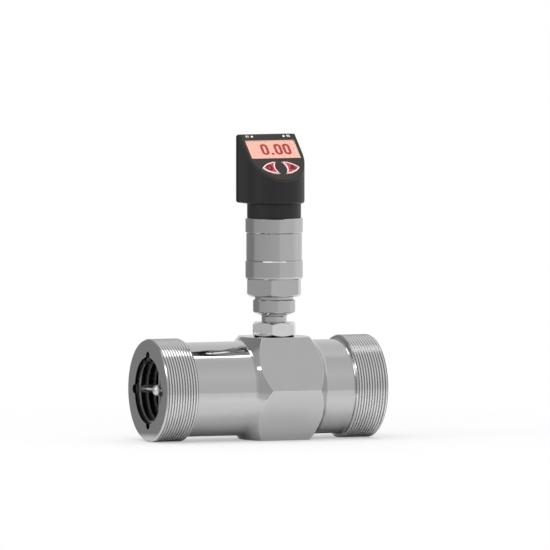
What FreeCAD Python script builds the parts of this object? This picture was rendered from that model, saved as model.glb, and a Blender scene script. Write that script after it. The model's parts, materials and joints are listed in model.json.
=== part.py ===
import FreeCAD, Part
import math
import os
import re

import Sketcher
from FreeCAD import Placement, Rotation, Vector

# Turbine flow meter for a 40 mm pipe line: a threaded steel body with a helical
# turbine between two flow straighteners, a screwed-in pickup stem with its
# amplifier housing, and a black indicator head that swivels on the housing.
# The flow runs along +X, the display looks towards -Y and +Z is up.
# The lower flat of the body's hexagon lies at Z = 0. All lengths are in mm.

SIZES = {
    # meter body
    "inlet_length": 80.0,
    "outlet_length": 60.0,
    "bore_diameter": 39.0,
    "tube_wall": 8.0,
    "thread_rise": 2.5,
    "thread_length": 20.0,
    "thread_chamfer": 0.8,
    "hex_rise": 2.5,
    "hex_edge_length": 30.0,
    "port_floor": 1.6,
    "cut_margin": 1.0,
    # keyways for the straighteners and grooves for their retaining rings
    "key_diameter": 5.2,
    "key_offset": 0.6,
    "key_length": 40.0,
    "clip_setback": 1.1,
    "clip_width": 1.2,
    "clip_groove_depth": 0.9,
    "clip_overlap": 0.8,
    "clip_gap_angle": 26.0,
    "clip_lug_size": 2.4,
    # flow straighteners
    "vane_thickness": 1.3,
    "vane_setback": 7.2,
    "bead_clearance": 0.15,
    "hoop_width": 1.0,
    "hoop_thickness": 1.0,
    "hoop_spacing": 4.7,
    "nose_diameter": 7.0,
    "nose_setback": 3.4,
    # turbine, its shaft and its bearings
    "turbine_hub_diameter": 13.0,
    "turbine_length": 14.0,
    "blade_thickness": 1.2,
    "blade_twist": 32.0,
    "blade_tip_gap": 0.9,
    "blade_end_margin": 1.0,
    "blade_count": 6.0,
    "shaft_diameter": 3.0,
    "running_clearance": 0.05,
    "bush_diameter": 7.0,
    "bush_length": 8.0,
    "bush_flange_diameter": 9.0,
    "bush_flange_thickness": 0.7,
    "thrust_plate_thickness": 1.5,
    "thrust_gap": 0.15,
    # pickup stem, lock nut and union ring
    "screw_diameter": 16.0,
    "screw_clearance": 0.05,
    "screw_chamfer": 1.0,
    "nut_across": 24.0,
    "nut_height": 8.4,
    "nut_turn": 2.8,
    "neck_diameter": 14.6,
    "neck_length": 3.2,
    "neck_collar_height": 1.2,
    "union_diameter": 24.7,
    "union_height": 8.9,
    "union_chamfer": 0.7,
    "stem_bore_diameter": 10.0,
    "stem_floor": 0.8,
    # adapter and amplifier housing
    "spigot_diameter": 22.4,
    "spigot_gap": 1.6,
    "adapter_across": 30.0,
    "adapter_height": 10.2,
    "adapter_turn": 1.8,
    "adapter_bore_diameter": 12.0,
    "sleeve_diameter": 32.6,
    "band_rise": 0.5,
    "sleeve_wall": 1.6,
    "lower_ring_height": 10.8,
    "sleeve_height": 16.2,
    "top_ring_height": 8.6,
    "fit_gap": 0.05,
    "seat_gap": 0.15,
    "register_depth": 3.0,
    "adapter_plug_height": 9.0,
    "stem_engagement": 6.0,
    "edge_chamfer": 0.4,
    # small electrical pieces in the stem and the housing
    "coil_height": 9.0,
    "coil_flange": 1.0,
    "magnet_height": 5.0,
    "pole_diameter": 2.4,
    "board_thickness": 1.6,
    "chip_width": 8.0,
    "chip_length": 8.0,
    "chip_offset": 2.0,
    # swivel neck between housing and indicator head
    "swivel_diameter": 31.5,
    "swivel_height": 8.5,
    "swivel_spigot_diameter": 26.0,
    "swivel_spigot_length": 12.0,
    "swivel_bore_diameter": 18.0,
    "seal_section": 1.6,
    "seal_squeeze": 0.1,
    "swivel_clip_height": 1.2,
    # indicator head
    "head_half_width": 17.8,
    "head_depth": 15.4,
    "head_height": 39.8,
    "slope_top": 11.3,
    "slope_run": 29.1,
    "slope_drop": 26.6,
    "head_wall": 2.0,
    "head_fillet": 1.5,
    "cover_thickness": 2.6,
    "cover_lip_depth": 1.6,
    "cover_lip_width": 1.2,
    "gasket_thickness": 0.8,
    "overlay_thickness": 0.4,
    "overlay_margin": 0.6,
    "window_width": 30.9,
    "window_length": 14.7,
    "window_setback": 5.5,
    "window_thickness": 1.2,
    "button_setback": 28.6,
    "button_spread": 6.7,
    "button_width": 9.9,
    "button_length": 9.6,
    "button_rise": 0.7,
    "button_travel": 0.5,
    "button_gap": 0.25,
    "button_concavity": 2.0,
    "button_bulge": 1.3,
    "button_flange": 0.6,
    "lens_diameter": 1.5,
    "lens_shoulder": 0.6,
    "lens_setback": 2.2,
    "lens_spread": 10.0,
    "module_depth": 3.9,
    "module_margin": 0.6,
    "switch_size": 4.0,
    "switch_height": 0.7,
    "plunger_diameter": 2.2,
    "plunger_height": 0.4,
    "display_board_thickness": 1.0,
    "boss_diameter": 4.0,
    "boss_bite": 0.1,
    "upper_boss_length": 3.0,
    "lower_boss_length": 8.0,
    "cover_screw_diameter": 2.2,
    "cover_screw_length": 5.4,
    "screw_head_diameter": 3.8,
    "screw_head_height": 1.4,
    # electrical connector on the back of the head
    "connector_diameter": 12.0,
    "connector_length": 12.0,
    "connector_flange": 15.0,
    "connector_flange_height": 2.5,
    "connector_rise": 17.0,
    "connector_tail_diameter": 10.0,
    "connector_nut_across": 14.0,
    "connector_nut_height": 2.5,
    "connector_seal_thickness": 0.6,
    "socket_diameter": 9.6,
    "socket_depth": 8.0,
    "insert_height": 3.0,
    "pin_length": 5.6,
    "pin_diameter": 1.0,
    "pin_circle_diameter": 4.6,
}

doc = FreeCAD.newDocument("turbine_flow_meter")
sheet = doc.addObject("Spreadsheet::Sheet", "sizes")
for row, (alias, value) in enumerate(SIZES.items(), start=1):
    sheet.set(f"A{row}", alias)
    sheet.set(f"B{row}", str(value))
    sheet.setAlias(f"B{row}", alias)
doc.recompute()

exported = []


def bound(text):
    """Write an expression on size names as one that looks them up in the sheet."""
    return re.sub(r"[a-z][a-z_]*\b(?!\()", lambda word: "sizes." + word[0], text)


def value_of(text):
    """Work out an expression on size names."""
    return float(sheet.evalExpression(bound(text)))


def place(body, x="0", y="0", z="0", axis=Vector(0, 0, 1), turn="0"):
    """Put a sub-part in the meter's frame, with its place bound to the sheet."""
    body.Placement = Placement(Vector(), Rotation(axis, value_of(turn)))
    for side, text in (("x", x), ("y", y), ("z", z)):
        body.setExpression(f"Placement.Base.{side}", bound(text))
    if turn != "0":
        body.setExpression("Placement.Rotation.Angle", bound(turn))


def new_body(name):
    """Start a sub-part and list it for export."""
    body = doc.addObject("PartDesign::Body", name)
    body.Label = name
    exported.append(body)
    return body


def sketch_on(body, name, plane="XZ_Plane", lift="0"):
    """Add a sketch on one of the body's own origin planes, lifted along its normal."""
    sketch = body.newObject("Sketcher::SketchObject", name)
    support = next(item for item in body.Origin.OriginFeatures if item.Role == plane)
    sketch.AttachmentSupport = [(support, "")]
    sketch.MapMode = "FlatFace"
    if lift != "0":
        sketch.setExpression("AttachmentOffset.Base.z", bound(lift))
    return sketch


def pin_point(sketch, edge, end, across, up):
    """Hold one end of an edge at a place worked out from the sheet."""
    for kind, text, axis in (("DistanceX", across, -2), ("DistanceY", up, -1)):
        if text == "0":
            sketch.addConstraint(Sketcher.Constraint("PointOnObject", edge, end, axis))
            continue
        number = sketch.addConstraint(
            Sketcher.Constraint(kind, -1, 1, edge, end, value_of(text)))
        sketch.setExpression(f"Constraints[{number}]", bound(text))


def draw_outline(sketch, corners):
    """Draw a closed outline of straight edges through (across, up) corners."""
    points = [Vector(value_of(across), value_of(up), 0) for across, up in corners]
    edges = []
    for start, finish in zip(points, points[1:] + points[:1]):
        edges.append(sketch.addGeometry(Part.LineSegment(start, finish), False))
    for edge, following in zip(edges, edges[1:] + edges[:1]):
        sketch.addConstraint(Sketcher.Constraint("Coincident", edge, 2, following, 1))
    for edge, (across, up) in zip(edges, corners):
        pin_point(sketch, edge, 1, across, up)


def draw_circle(sketch, radius, across="0", up="0"):
    """Draw a circle with its centre and radius bound to the sheet."""
    centre = Vector(value_of(across), value_of(up), 0)
    edge = sketch.addGeometry(Part.Circle(centre, Vector(0, 0, 1), value_of(radius)), False)
    if across == "0" and up == "0":
        sketch.addConstraint(Sketcher.Constraint("Coincident", edge, 3, -1, 1))
    else:
        pin_point(sketch, edge, 3, across, up)
    number = sketch.addConstraint(Sketcher.Constraint("Radius", edge, value_of(radius)))
    sketch.setExpression(f"Constraints[{number}]", bound(radius))


def draw_hexagon(sketch, across_flats, turn=0):
    """Draw a regular hexagon; a turn of 0 puts corners on the across axis."""
    corners = []
    for step in range(6):
        angle = 60 * step + turn
        corners.append((f"({across_flats}) / sqrt(3) * cos({angle})",
                        f"({across_flats}) / sqrt(3) * sin({angle})"))
    draw_outline(sketch, corners)


def revolve(body, name, corners, kind="PartDesign::Revolution", sweep="360"):
    """Turn an outline of (radius, height) corners about the body's Z axis."""
    sketch = sketch_on(body, name + "_outline")
    draw_outline(sketch, corners)
    feature = body.newObject(kind, name)
    feature.Profile = sketch
    feature.ReferenceAxis = (sketch, ["V_Axis"])
    if sweep == "360":
        feature.Angle = 360
    else:
        feature.setExpression("Angle", bound(sweep))
    body.Tip = feature
    return feature


def pad(body, sketch, name, length):
    """Raise a sketch along its normal by a length from the sheet."""
    feature = body.newObject("PartDesign::Pad", name)
    feature.Profile = sketch
    feature.setExpression("Length", bound(length))
    body.Tip = feature
    return feature


def pocket(body, sketch, name, length=None, along_normal=True):
    """Cut a sketch's outline through the body and make sure that metal went away."""
    before = body_volume(body)
    feature = body.newObject("PartDesign::Pocket", name)
    feature.Profile = sketch
    feature.Reversed = along_normal
    if length is None:
        feature.Type = "ThroughAll"
    else:
        feature.setExpression("Length", bound(length))
    body.Tip = feature
    if body_volume(body) > before - 1e-6:
        raise RuntimeError(f"{name} cuts nothing from {body.Label}")
    return feature


def body_volume(body):
    doc.recompute()
    return body.Shape.Volume


def groove(body, name, corners):
    """Turn an outline about the body's Z axis and cut it away."""
    before = body_volume(body)
    feature = revolve(body, name, corners, "PartDesign::Groove")
    if body_volume(body) > before - 1e-6:
        raise RuntimeError(f"{name} cuts nothing from {body.Label}")
    return feature


def repeat_round(body, feature, name, count):
    """Repeat a feature round the body's Z axis."""
    pattern = body.newObject("PartDesign::PolarPattern", name)
    pattern.Originals = [feature]
    axis = next(item for item in body.Origin.OriginFeatures if item.Role == "Z_Axis")
    pattern.Axis = (axis, [""])
    pattern.Angle = 360
    pattern.setExpression("Occurrences", bound(count))
    body.Tip = pattern
    doc.recompute()
    return pattern



# Sizes that follow from the bore and the walls round it.
TUBE = "(bore_diameter / 2 + tube_wall)"
THREAD = f"({TUBE} + thread_rise)"
HEX_FLAT = f"({TUBE} + hex_rise)"
HEX_CORNER = f"({HEX_FLAT} / cos(30))"
KEY_CIRCLE = "(bore_diameter / 2 + key_offset)"

# Places along the pipe, measured from the middle of the body.
BODY_LENGTH = "(inlet_length + outlet_length)"
STEM_X = "((inlet_length - outlet_length) / 2)"
INLET_X = f"(-{BODY_LENGTH} / 2)"
OUTLET_X = f"({BODY_LENGTH} / 2)"
AXIS_Z = HEX_FLAT
ALONG_PIPE = Vector(0, 1, 0)


def place_on_pipe(body, start):
    """Lay a part turned about Z along the pipe; start is its X in the meter's frame."""
    place(body, x=start, z=AXIS_Z, axis=ALONG_PIPE, turn="90")


def place_on_pipe_reversed(body, start):
    """As place_on_pipe, with the part's own Z pointing upstream."""
    place(body, x=start, z=AXIS_Z, axis=ALONG_PIPE, turn="-90")


def make_meter_body():
    body = new_body("meter_body")
    centre = "inlet_length"
    half_block = f"(hex_edge_length / 2 + {HEX_CORNER} - {TUBE})"
    hexagon = sketch_on(body, "hexagon", "XY_Plane", f"{centre} - {half_block}")
    draw_hexagon(hexagon, f"2 * {HEX_FLAT}", turn=90)
    pad(body, hexagon, "hexagon_block", f"2 * {half_block}")
    for name, side in (("inlet_cone", "-"), ("outlet_cone", "+")):
        groove(body, name, [
            (HEX_CORNER, f"{centre} {side} hex_edge_length / 2"),
            (f"{HEX_CORNER} + 2 * cut_margin", f"{centre} {side} hex_edge_length / 2"),
            (f"{HEX_CORNER} + 2 * cut_margin", f"{centre} {side} ({half_block} + cut_margin)"),
            (f"{TUBE} - cut_margin", f"{centre} {side} ({half_block} + cut_margin)")])
    end = BODY_LENGTH
    revolve(body, "tube_and_thread_rings", [
        ("0", "0"),
        (f"{THREAD} - thread_chamfer", "0"),
        (THREAD, "thread_chamfer"),
        (THREAD, "thread_length - thread_chamfer"),
        (f"{THREAD} - thread_chamfer", "thread_length"),
        (TUBE, "thread_length"),
        (TUBE, f"{end} - thread_length"),
        (f"{THREAD} - thread_chamfer", f"{end} - thread_length"),
        (THREAD, f"{end} - thread_length + thread_chamfer"),
        (THREAD, f"{end} - thread_chamfer"),
        (f"{THREAD} - thread_chamfer", end),
        ("0", end)])
    bore = sketch_on(body, "bore_circle", "XY_Plane")
    draw_circle(bore, "bore_diameter / 2")
    pocket(body, bore, "bore")
    inside = "bore_diameter / 2 - cut_margin"
    clip = "bore_diameter / 2 + clip_groove_depth"
    for name, start in (("inlet_clip_groove", "clip_setback"),
                        ("outlet_clip_groove", f"{end} - clip_setback - clip_width")):
        groove(body, name, [(inside, start), (clip, start),
                            (clip, f"{start} + clip_width"), (inside, f"{start} + clip_width")])
    for name, start in (("inlet_keyway", "0"), ("outlet_keyway", f"{end} - key_length")):
        key = sketch_on(body, name + "_circle", "XY_Plane", start)
        draw_circle(key, "key_diameter / 2", across=KEY_CIRCLE)
        cut = pocket(body, key, name, "key_length")
        repeat_round(body, cut, name + "s", "4")
    port = sketch_on(body, "port_circle", "YZ_Plane", f"-{HEX_FLAT}")
    draw_circle(port, "screw_diameter / 2 + screw_clearance", up=centre)
    pocket(body, port, "pickup_port", f"{HEX_FLAT} - bore_diameter / 2 - port_floor")
    place_on_pipe(body, INLET_X)
    return body


HUB_GAP = "(bush_flange_thickness + thrust_gap)"
SHAFT_REACH = f"(turbine_length / 2 + {HUB_GAP} + bush_length - thrust_gap)"


def edges_like(shape, radius, height):
    """Name the circular edges of one radius at one height on the part's Z axis."""
    names = []
    for number, edge in enumerate(shape.Edges, start=1):
        round_edge = edge.Curve.TypeId == "Part::GeomCircle"
        if round_edge and abs(edge.Curve.Radius - radius) < 1e-4 \
                and abs(edge.Curve.Center.z - height) < 1e-4:
            names.append(f"Edge{number}")
    return names


def make_straightener(side, reach):
    """Hub, four keyed vanes and three hoops; its Z runs inwards from the pipe's end."""
    body = new_body(f"{side}_straightener")
    hub_end = f"({reach} - turbine_length / 2 - {HUB_GAP})"
    front = "(clip_setback + clip_width + seat_gap)"
    hub = revolve(body, "hub", [
        ("0", "nose_setback"),
        ("nose_diameter / 2", "nose_setback"),
        ("nose_diameter / 2", "vane_setback + nose_diameter / 2"),
        ("turbine_hub_diameter / 2", f"({hub_end} + vane_setback) / 2"),
        ("turbine_hub_diameter / 2", hub_end),
        ("0", hub_end)])
    doc.recompute()
    nose = body.newObject("PartDesign::Fillet", "nose_round")
    nose.Base = (hub, edges_like(hub.Shape, value_of("nose_diameter / 2"),
                                 value_of("nose_setback")))
    nose.setExpression("Radius", bound("nose_diameter * 0.45"))
    body.Tip = nose
    half = "vane_thickness / 2"
    rim = KEY_CIRCLE
    plate = sketch_on(body, "vane_section", "XY_Plane", "vane_setback")
    draw_outline(plate, [("nose_diameter / 4", f"-{half}"), (rim, f"-{half}"),
                         (rim, half), ("nose_diameter / 4", half)])
    vane = pad(body, plate, "vane", "key_length - vane_setback - fit_gap")
    repeat_round(body, vane, "vanes", "4")
    rod = sketch_on(body, "bead_section", "XY_Plane", front)
    draw_circle(rod, "key_diameter / 2 - bead_clearance", across=rim)
    bead = pad(body, rod, "bead", f"key_length - {front} - fit_gap")
    repeat_round(body, bead, "beads", "4")
    outer = "(bore_diameter / 2 - bead_clearance)"
    for number in range(3):
        start = f"{front} + {number} * hoop_spacing"
        revolve(body, f"hoop_{number + 1}", [
            (f"{outer} - hoop_thickness", start), (outer, start),
            (outer, f"{start} + hoop_width"),
            (f"{outer} - hoop_thickness", f"{start} + hoop_width")])
    pocket_end = f"{hub_end} - bush_length - thrust_plate_thickness"
    groove(body, "bush_pocket", [
        ("0", pocket_end), ("bush_diameter / 2 + fit_gap", pocket_end),
        ("bush_diameter / 2 + fit_gap", f"{hub_end} + cut_margin"),
        ("0", f"{hub_end} + cut_margin")])
    return body


def make_retaining_ring(side):
    """Spring ring with an open gap at the top and a drilled lug at each end."""
    body = new_body(f"{side}_retaining_ring")
    inner = "(bore_diameter / 2 - clip_overlap)"
    outer = "(bore_diameter / 2 + clip_groove_depth - fit_gap)"
    low = "(clip_setback + fit_gap)"
    high = "(clip_setback + clip_width - fit_gap)"
    revolve(body, "ring", [(f"-{inner}", low), (f"-{outer}", low),
                           (f"-{outer}", high), (f"-{inner}", high)],
            sweep="360 - clip_gap_angle")
    for name, angle in (("first_lug", "180"), ("second_lug", "180 - clip_gap_angle")):
        lug = sketch_on(body, name + "_section", "XY_Plane", low)
        draw_circle(lug, "clip_lug_size / 2",
                    across=f"({inner} - clip_lug_size / 4) * cos({angle})",
                    up=f"({inner} - clip_lug_size / 4) * sin({angle})")
        pad(body, lug, name, f"{high} - {low}")
        hole = sketch_on(body, name + "_hole_circle", "XY_Plane", low)
        draw_circle(hole, "clip_lug_size / 5",
                    across=f"({inner} - clip_lug_size / 4) * cos({angle})",
                    up=f"({inner} - clip_lug_size / 4) * sin({angle})")
        pocket(body, hole, name + "_hole")
    return body


def make_bearing(side, reach):
    """Flanged bush and the hard plate behind it that takes the shaft's end thrust."""
    hub_end = f"({reach} - turbine_length / 2 - {HUB_GAP})"
    bush = new_body(f"{side}_bearing_bush")
    shaft = "shaft_diameter / 2 + running_clearance"
    revolve(bush, "bush", [
        (shaft, f"{hub_end} - bush_length"),
        ("bush_diameter / 2", f"{hub_end} - bush_length"),
        ("bush_diameter / 2", hub_end),
        ("bush_flange_diameter / 2", hub_end),
        ("bush_flange_diameter / 2", f"{hub_end} + bush_flange_thickness"),
        (shaft, f"{hub_end} + bush_flange_thickness")])
    plate = new_body(f"{side}_thrust_plate")
    revolve(plate, "plate", [
        ("0", f"{hub_end} - bush_length - thrust_plate_thickness"),
        ("bush_diameter / 2", f"{hub_end} - bush_length - thrust_plate_thickness"),
        ("bush_diameter / 2", f"{hub_end} - bush_length"),
        ("0", f"{hub_end} - bush_length")])
    return [bush, plate]


def make_turbine():
    """Hub with helical blades, each lofted through three turned sections."""
    body = new_body("turbine")
    revolve(body, "hub", [
        ("shaft_diameter / 2 + fit_gap", "-turbine_length / 2"),
        ("turbine_hub_diameter / 2 - edge_chamfer", "-turbine_length / 2"),
        ("turbine_hub_diameter / 2", "-turbine_length / 2 + edge_chamfer"),
        ("turbine_hub_diameter / 2", "turbine_length / 2 - edge_chamfer"),
        ("turbine_hub_diameter / 2 - edge_chamfer", "turbine_length / 2"),
        ("shaft_diameter / 2 + fit_gap", "turbine_length / 2")])
    root = "(turbine_hub_diameter / 2 - blade_thickness / 2)"
    tip = "(bore_diameter / 2 - blade_tip_gap)"
    half = "(blade_thickness / 2)"
    sections = []
    for name, share in (("leading", "-0.5"), ("middle", "0"), ("trailing", "0.5")):
        angle = f"({share} * blade_twist)"
        lift = f"{share} * (turbine_length - 2 * blade_end_margin)"
        section = sketch_on(body, f"blade_{name}_section", "XY_Plane", lift)
        corners = []
        for radius, side in ((root, "-"), (tip, "-"), (tip, "+"), (root, "+")):
            other = "+" if side == "-" else "-"
            corners.append((f"{radius} * cos({angle}) {other} {half} * sin({angle})",
                            f"{radius} * sin({angle}) {side} {half} * cos({angle})"))
        draw_outline(section, corners)
        sections.append(section)
    blade = body.newObject("PartDesign::AdditiveLoft", "blade")
    blade.Profile = sections[0]
    blade.Sections = sections[1:]
    body.Tip = blade
    repeat_round(body, blade, "blades", "blade_count")
    place_on_pipe(body, STEM_X)


def make_turbine_shaft():
    body = new_body("turbine_shaft")
    radius = "shaft_diameter / 2"
    revolve(body, "shaft", [
        ("0", f"-{SHAFT_REACH}"),
        (f"{radius} * 0.6", f"-{SHAFT_REACH}"),
        (radius, f"{radius} * 0.4 - {SHAFT_REACH}"),
        (radius, f"{SHAFT_REACH} - {radius} * 0.4"),
        (f"{radius} * 0.6", SHAFT_REACH),
        ("0", SHAFT_REACH)])
    place_on_pipe(body, STEM_X)


def make_flow_path():
    for body in [make_straightener("inlet", "inlet_length"), make_retaining_ring("inlet"),
                 *make_bearing("inlet", "inlet_length")]:
        place_on_pipe(body, INLET_X)
    make_turbine()
    make_turbine_shaft()
    for body in [make_straightener("outlet", "outlet_length"), make_retaining_ring("outlet"),
                 *make_bearing("outlet", "outlet_length")]:
        place_on_pipe_reversed(body, OUTLET_X)



# Heights of the pieces stacked on the body, from the standing surface up.
PORT_FLOOR_Z = f"({HEX_FLAT} + bore_diameter / 2 + port_floor)"
NUT_Z = f"(2 * {HEX_FLAT})"
NECK_Z = f"({NUT_Z} + nut_height)"
UNION_Z = f"({NECK_Z} + neck_length + neck_collar_height)"
SPIGOT_Z = f"({UNION_Z} + union_height)"
ADAPTER_Z = f"({SPIGOT_Z} + spigot_gap)"
LOWER_RING_Z = f"({ADAPTER_Z} + adapter_height)"
SLEEVE_Z = f"({LOWER_RING_Z} + lower_ring_height)"
TOP_RING_Z = f"({SLEEVE_Z} + sleeve_height)"
SWIVEL_Z = f"({TOP_RING_Z} + top_ring_height)"
HEAD_Z = f"({SWIVEL_Z} + swivel_height)"
SCREW = "(screw_diameter / 2)"
SCREW_HOLE = "(screw_diameter / 2 + screw_clearance)"


def place_on_stem(body, height, turn="0"):
    """Stand a part on the stem's axis."""
    place(body, x=STEM_X, z=height, turn=turn)


def chamfer_hexagon(body, across, height, low=True, high=True):
    """Turn the corners of a hexagon at its ends, as on a nut."""
    corner = f"({across}) / sqrt(3)"
    inside = f"({across}) * 0.475"
    drop = f"({corner} - {inside}) * 0.577"
    if low:
        groove(body, "lower_chamfer", [(inside, "0"), (f"{corner} + cut_margin", "0"),
                                       (f"{corner} + cut_margin", drop), (corner, drop)])
    if high:
        groove(body, "upper_chamfer", [
            (inside, height), (f"{corner} + cut_margin", height),
            (f"{corner} + cut_margin", f"{height} - {drop}"), (corner, f"{height} - {drop}")])


def make_lock_nut():
    body = new_body("lock_nut")
    hexagon = sketch_on(body, "hexagon", "XY_Plane")
    draw_hexagon(hexagon, "nut_across")
    pad(body, hexagon, "nut_block", "nut_height")
    hole = sketch_on(body, "hole_circle", "XY_Plane")
    draw_circle(hole, SCREW_HOLE)
    pocket(body, hole, "hole")
    chamfer_hexagon(body, "nut_across", "nut_height")
    place_on_stem(body, NUT_Z, "nut_turn")


def make_pickup_stem():
    """Screwed stem with a closed tip, a relieved neck and a collar for the union ring."""
    body = new_body("pickup_stem")
    base = f"({PORT_FLOOR_Z} + fit_gap)"
    neck = f"{NECK_Z} - {base}"
    collar = f"{neck} + neck_length"
    top = f"{ADAPTER_Z} + stem_engagement - {base}"
    revolve(body, "stem", [
        ("0", "0"), (f"{SCREW} - screw_chamfer", "0"), (SCREW, "screw_chamfer"), (SCREW, neck),
        ("neck_diameter / 2", neck), ("neck_diameter / 2", collar),
        (SCREW, f"{collar} + ({SCREW} - neck_diameter / 2)"),
        (SCREW, top), ("stem_bore_diameter / 2", top),
        ("stem_bore_diameter / 2", "stem_floor"), ("0", "stem_floor")])
    place_on_stem(body, base)


def make_pickup_parts():
    """Coil, magnet and pole pin stacked in the stem's closed end."""
    floor = f"({PORT_FLOOR_Z} + fit_gap + stem_floor)"
    inside = "(stem_bore_diameter / 2 - fit_gap)"
    pole = "pole_diameter / 2"
    coil = new_body("pickup_coil")
    revolve(coil, "bobbin", [
        (f"{pole} + fit_gap", "0"), (inside, "0"), (inside, "coil_flange"),
        (f"{inside} - coil_flange / 2", "coil_flange"),
        (f"{inside} - coil_flange / 2", "coil_height - coil_flange"),
        (inside, "coil_height - coil_flange"), (inside, "coil_height"),
        (f"{pole} + fit_gap", "coil_height")])
    place_on_stem(coil, floor)
    pin = new_body("pickup_pole")
    revolve(pin, "pin", [("0", "0"), (pole, "0"), (pole, "coil_height"), ("0", "coil_height")])
    place_on_stem(pin, floor)
    magnet = new_body("pickup_magnet")
    revolve(magnet, "magnet", [("0", "0"), (inside, "0"), (inside, "magnet_height"),
                               ("0", "magnet_height")])
    place_on_stem(magnet, f"{floor} + coil_height")


def make_union_ring():
    """Round ring that locks the stem in the adapter, coned on its underside."""
    body = new_body("union_ring")
    rim = "(union_diameter / 2)"
    revolve(body, "ring", [
        (SCREW_HOLE, "0"), (f"{rim} - 4 * union_chamfer", "0"),
        (rim, "2 * union_chamfer"), (rim, "union_height - union_chamfer"),
        (f"{rim} - union_chamfer", "union_height"), (SCREW_HOLE, "union_height")])
    place_on_stem(body, UNION_Z)


def make_hex_adapter():
    """Hexagon with a round foot below and a threaded plug for the housing above."""
    body = new_body("hex_adapter")
    plug = "(sleeve_diameter / 2 - sleeve_wall - fit_gap)"
    hexagon = sketch_on(body, "hexagon", "XY_Plane")
    draw_hexagon(hexagon, "adapter_across")
    pad(body, hexagon, "hexagon_block", "adapter_height")
    chamfer_hexagon(body, "adapter_across", "adapter_height", high=False)
    revolve(body, "foot_and_plug", [
        ("0", "-spigot_gap"), ("spigot_diameter / 2", "-spigot_gap"),
        ("spigot_diameter / 2", "screw_chamfer"), (plug, "screw_chamfer"),
        (plug, "adapter_height"),
        (plug, "adapter_height + adapter_plug_height"),
        ("0", "adapter_height + adapter_plug_height")])
    seat = "stem_engagement + fit_gap"
    low = "-spigot_gap - cut_margin"
    high = "adapter_height + adapter_plug_height + cut_margin"
    groove(body, "stem_socket", [("0", low), (SCREW_HOLE, low), (SCREW_HOLE, seat), ("0", seat)])
    groove(body, "wire_way", [
        ("0", f"{seat} - cut_margin"), ("adapter_bore_diameter / 2", f"{seat} - cut_margin"),
        ("adapter_bore_diameter / 2", high), ("0", high)])
    place_on_stem(body, ADAPTER_Z, "adapter_turn")


BAND = "(sleeve_diameter / 2 + band_rise)"
SLEEVE_IN = "(sleeve_diameter / 2 - sleeve_wall)"
REGISTER = "(sleeve_diameter / 2 - sleeve_wall / 2)"
SWIVEL_HOLE = "(swivel_spigot_diameter / 2 + running_clearance)"


def make_housing():
    """Sleeve registered in a lower and an upper band, round the amplifier board."""
    lower = new_body("housing_lower_ring")
    counterbore = "lower_ring_height - register_depth - fit_gap"
    revolve(lower, "ring", [
        (SLEEVE_IN, "0"), (f"{BAND} - edge_chamfer", "0"),
        (BAND, "4 * edge_chamfer"), (BAND, "lower_ring_height"),
        (f"{REGISTER} + fit_gap", "lower_ring_height"),
        (f"{REGISTER} + fit_gap", counterbore), (SLEEVE_IN, counterbore)])
    place_on_stem(lower, LOWER_RING_Z)
    sleeve = new_body("housing_sleeve")
    outer = "sleeve_diameter / 2"
    revolve(sleeve, "sleeve", [
        (SLEEVE_IN, "-register_depth"), (REGISTER, "-register_depth"), (REGISTER, "0"),
        (outer, "0"), (outer, "sleeve_height"), (REGISTER, "sleeve_height"),
        (REGISTER, "sleeve_height + register_depth"),
        (SLEEVE_IN, "sleeve_height + register_depth")])
    place_on_stem(sleeve, SLEEVE_Z)
    top = new_body("housing_top_ring")
    revolve(top, "ring", [
        (f"{REGISTER} + fit_gap", "0"), (BAND, "0"),
        (BAND, "top_ring_height - edge_chamfer"),
        (f"{BAND} - edge_chamfer", "top_ring_height"), (SWIVEL_HOLE, "top_ring_height"),
        (SWIVEL_HOLE, "register_depth + fit_gap"),
        (f"{REGISTER} + fit_gap", "register_depth + fit_gap")])
    place_on_stem(top, TOP_RING_Z)
    board = new_body("amplifier_board")
    disc = sketch_on(board, "board_circle", "XY_Plane")
    draw_circle(disc, f"{SLEEVE_IN} - seat_gap")
    pad(board, disc, "board", "board_thickness")
    chips = sketch_on(board, "chip_outline", "XY_Plane", "board_thickness")
    draw_outline(chips, rectangle("-chip_width / 2", "-chip_length / 2 - chip_offset",
                                  "chip_width / 2", "chip_length / 2 - chip_offset"))
    pad(board, chips, "chip", "board_thickness")
    place_on_stem(board, f"{LOWER_RING_Z} + adapter_plug_height")


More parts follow.
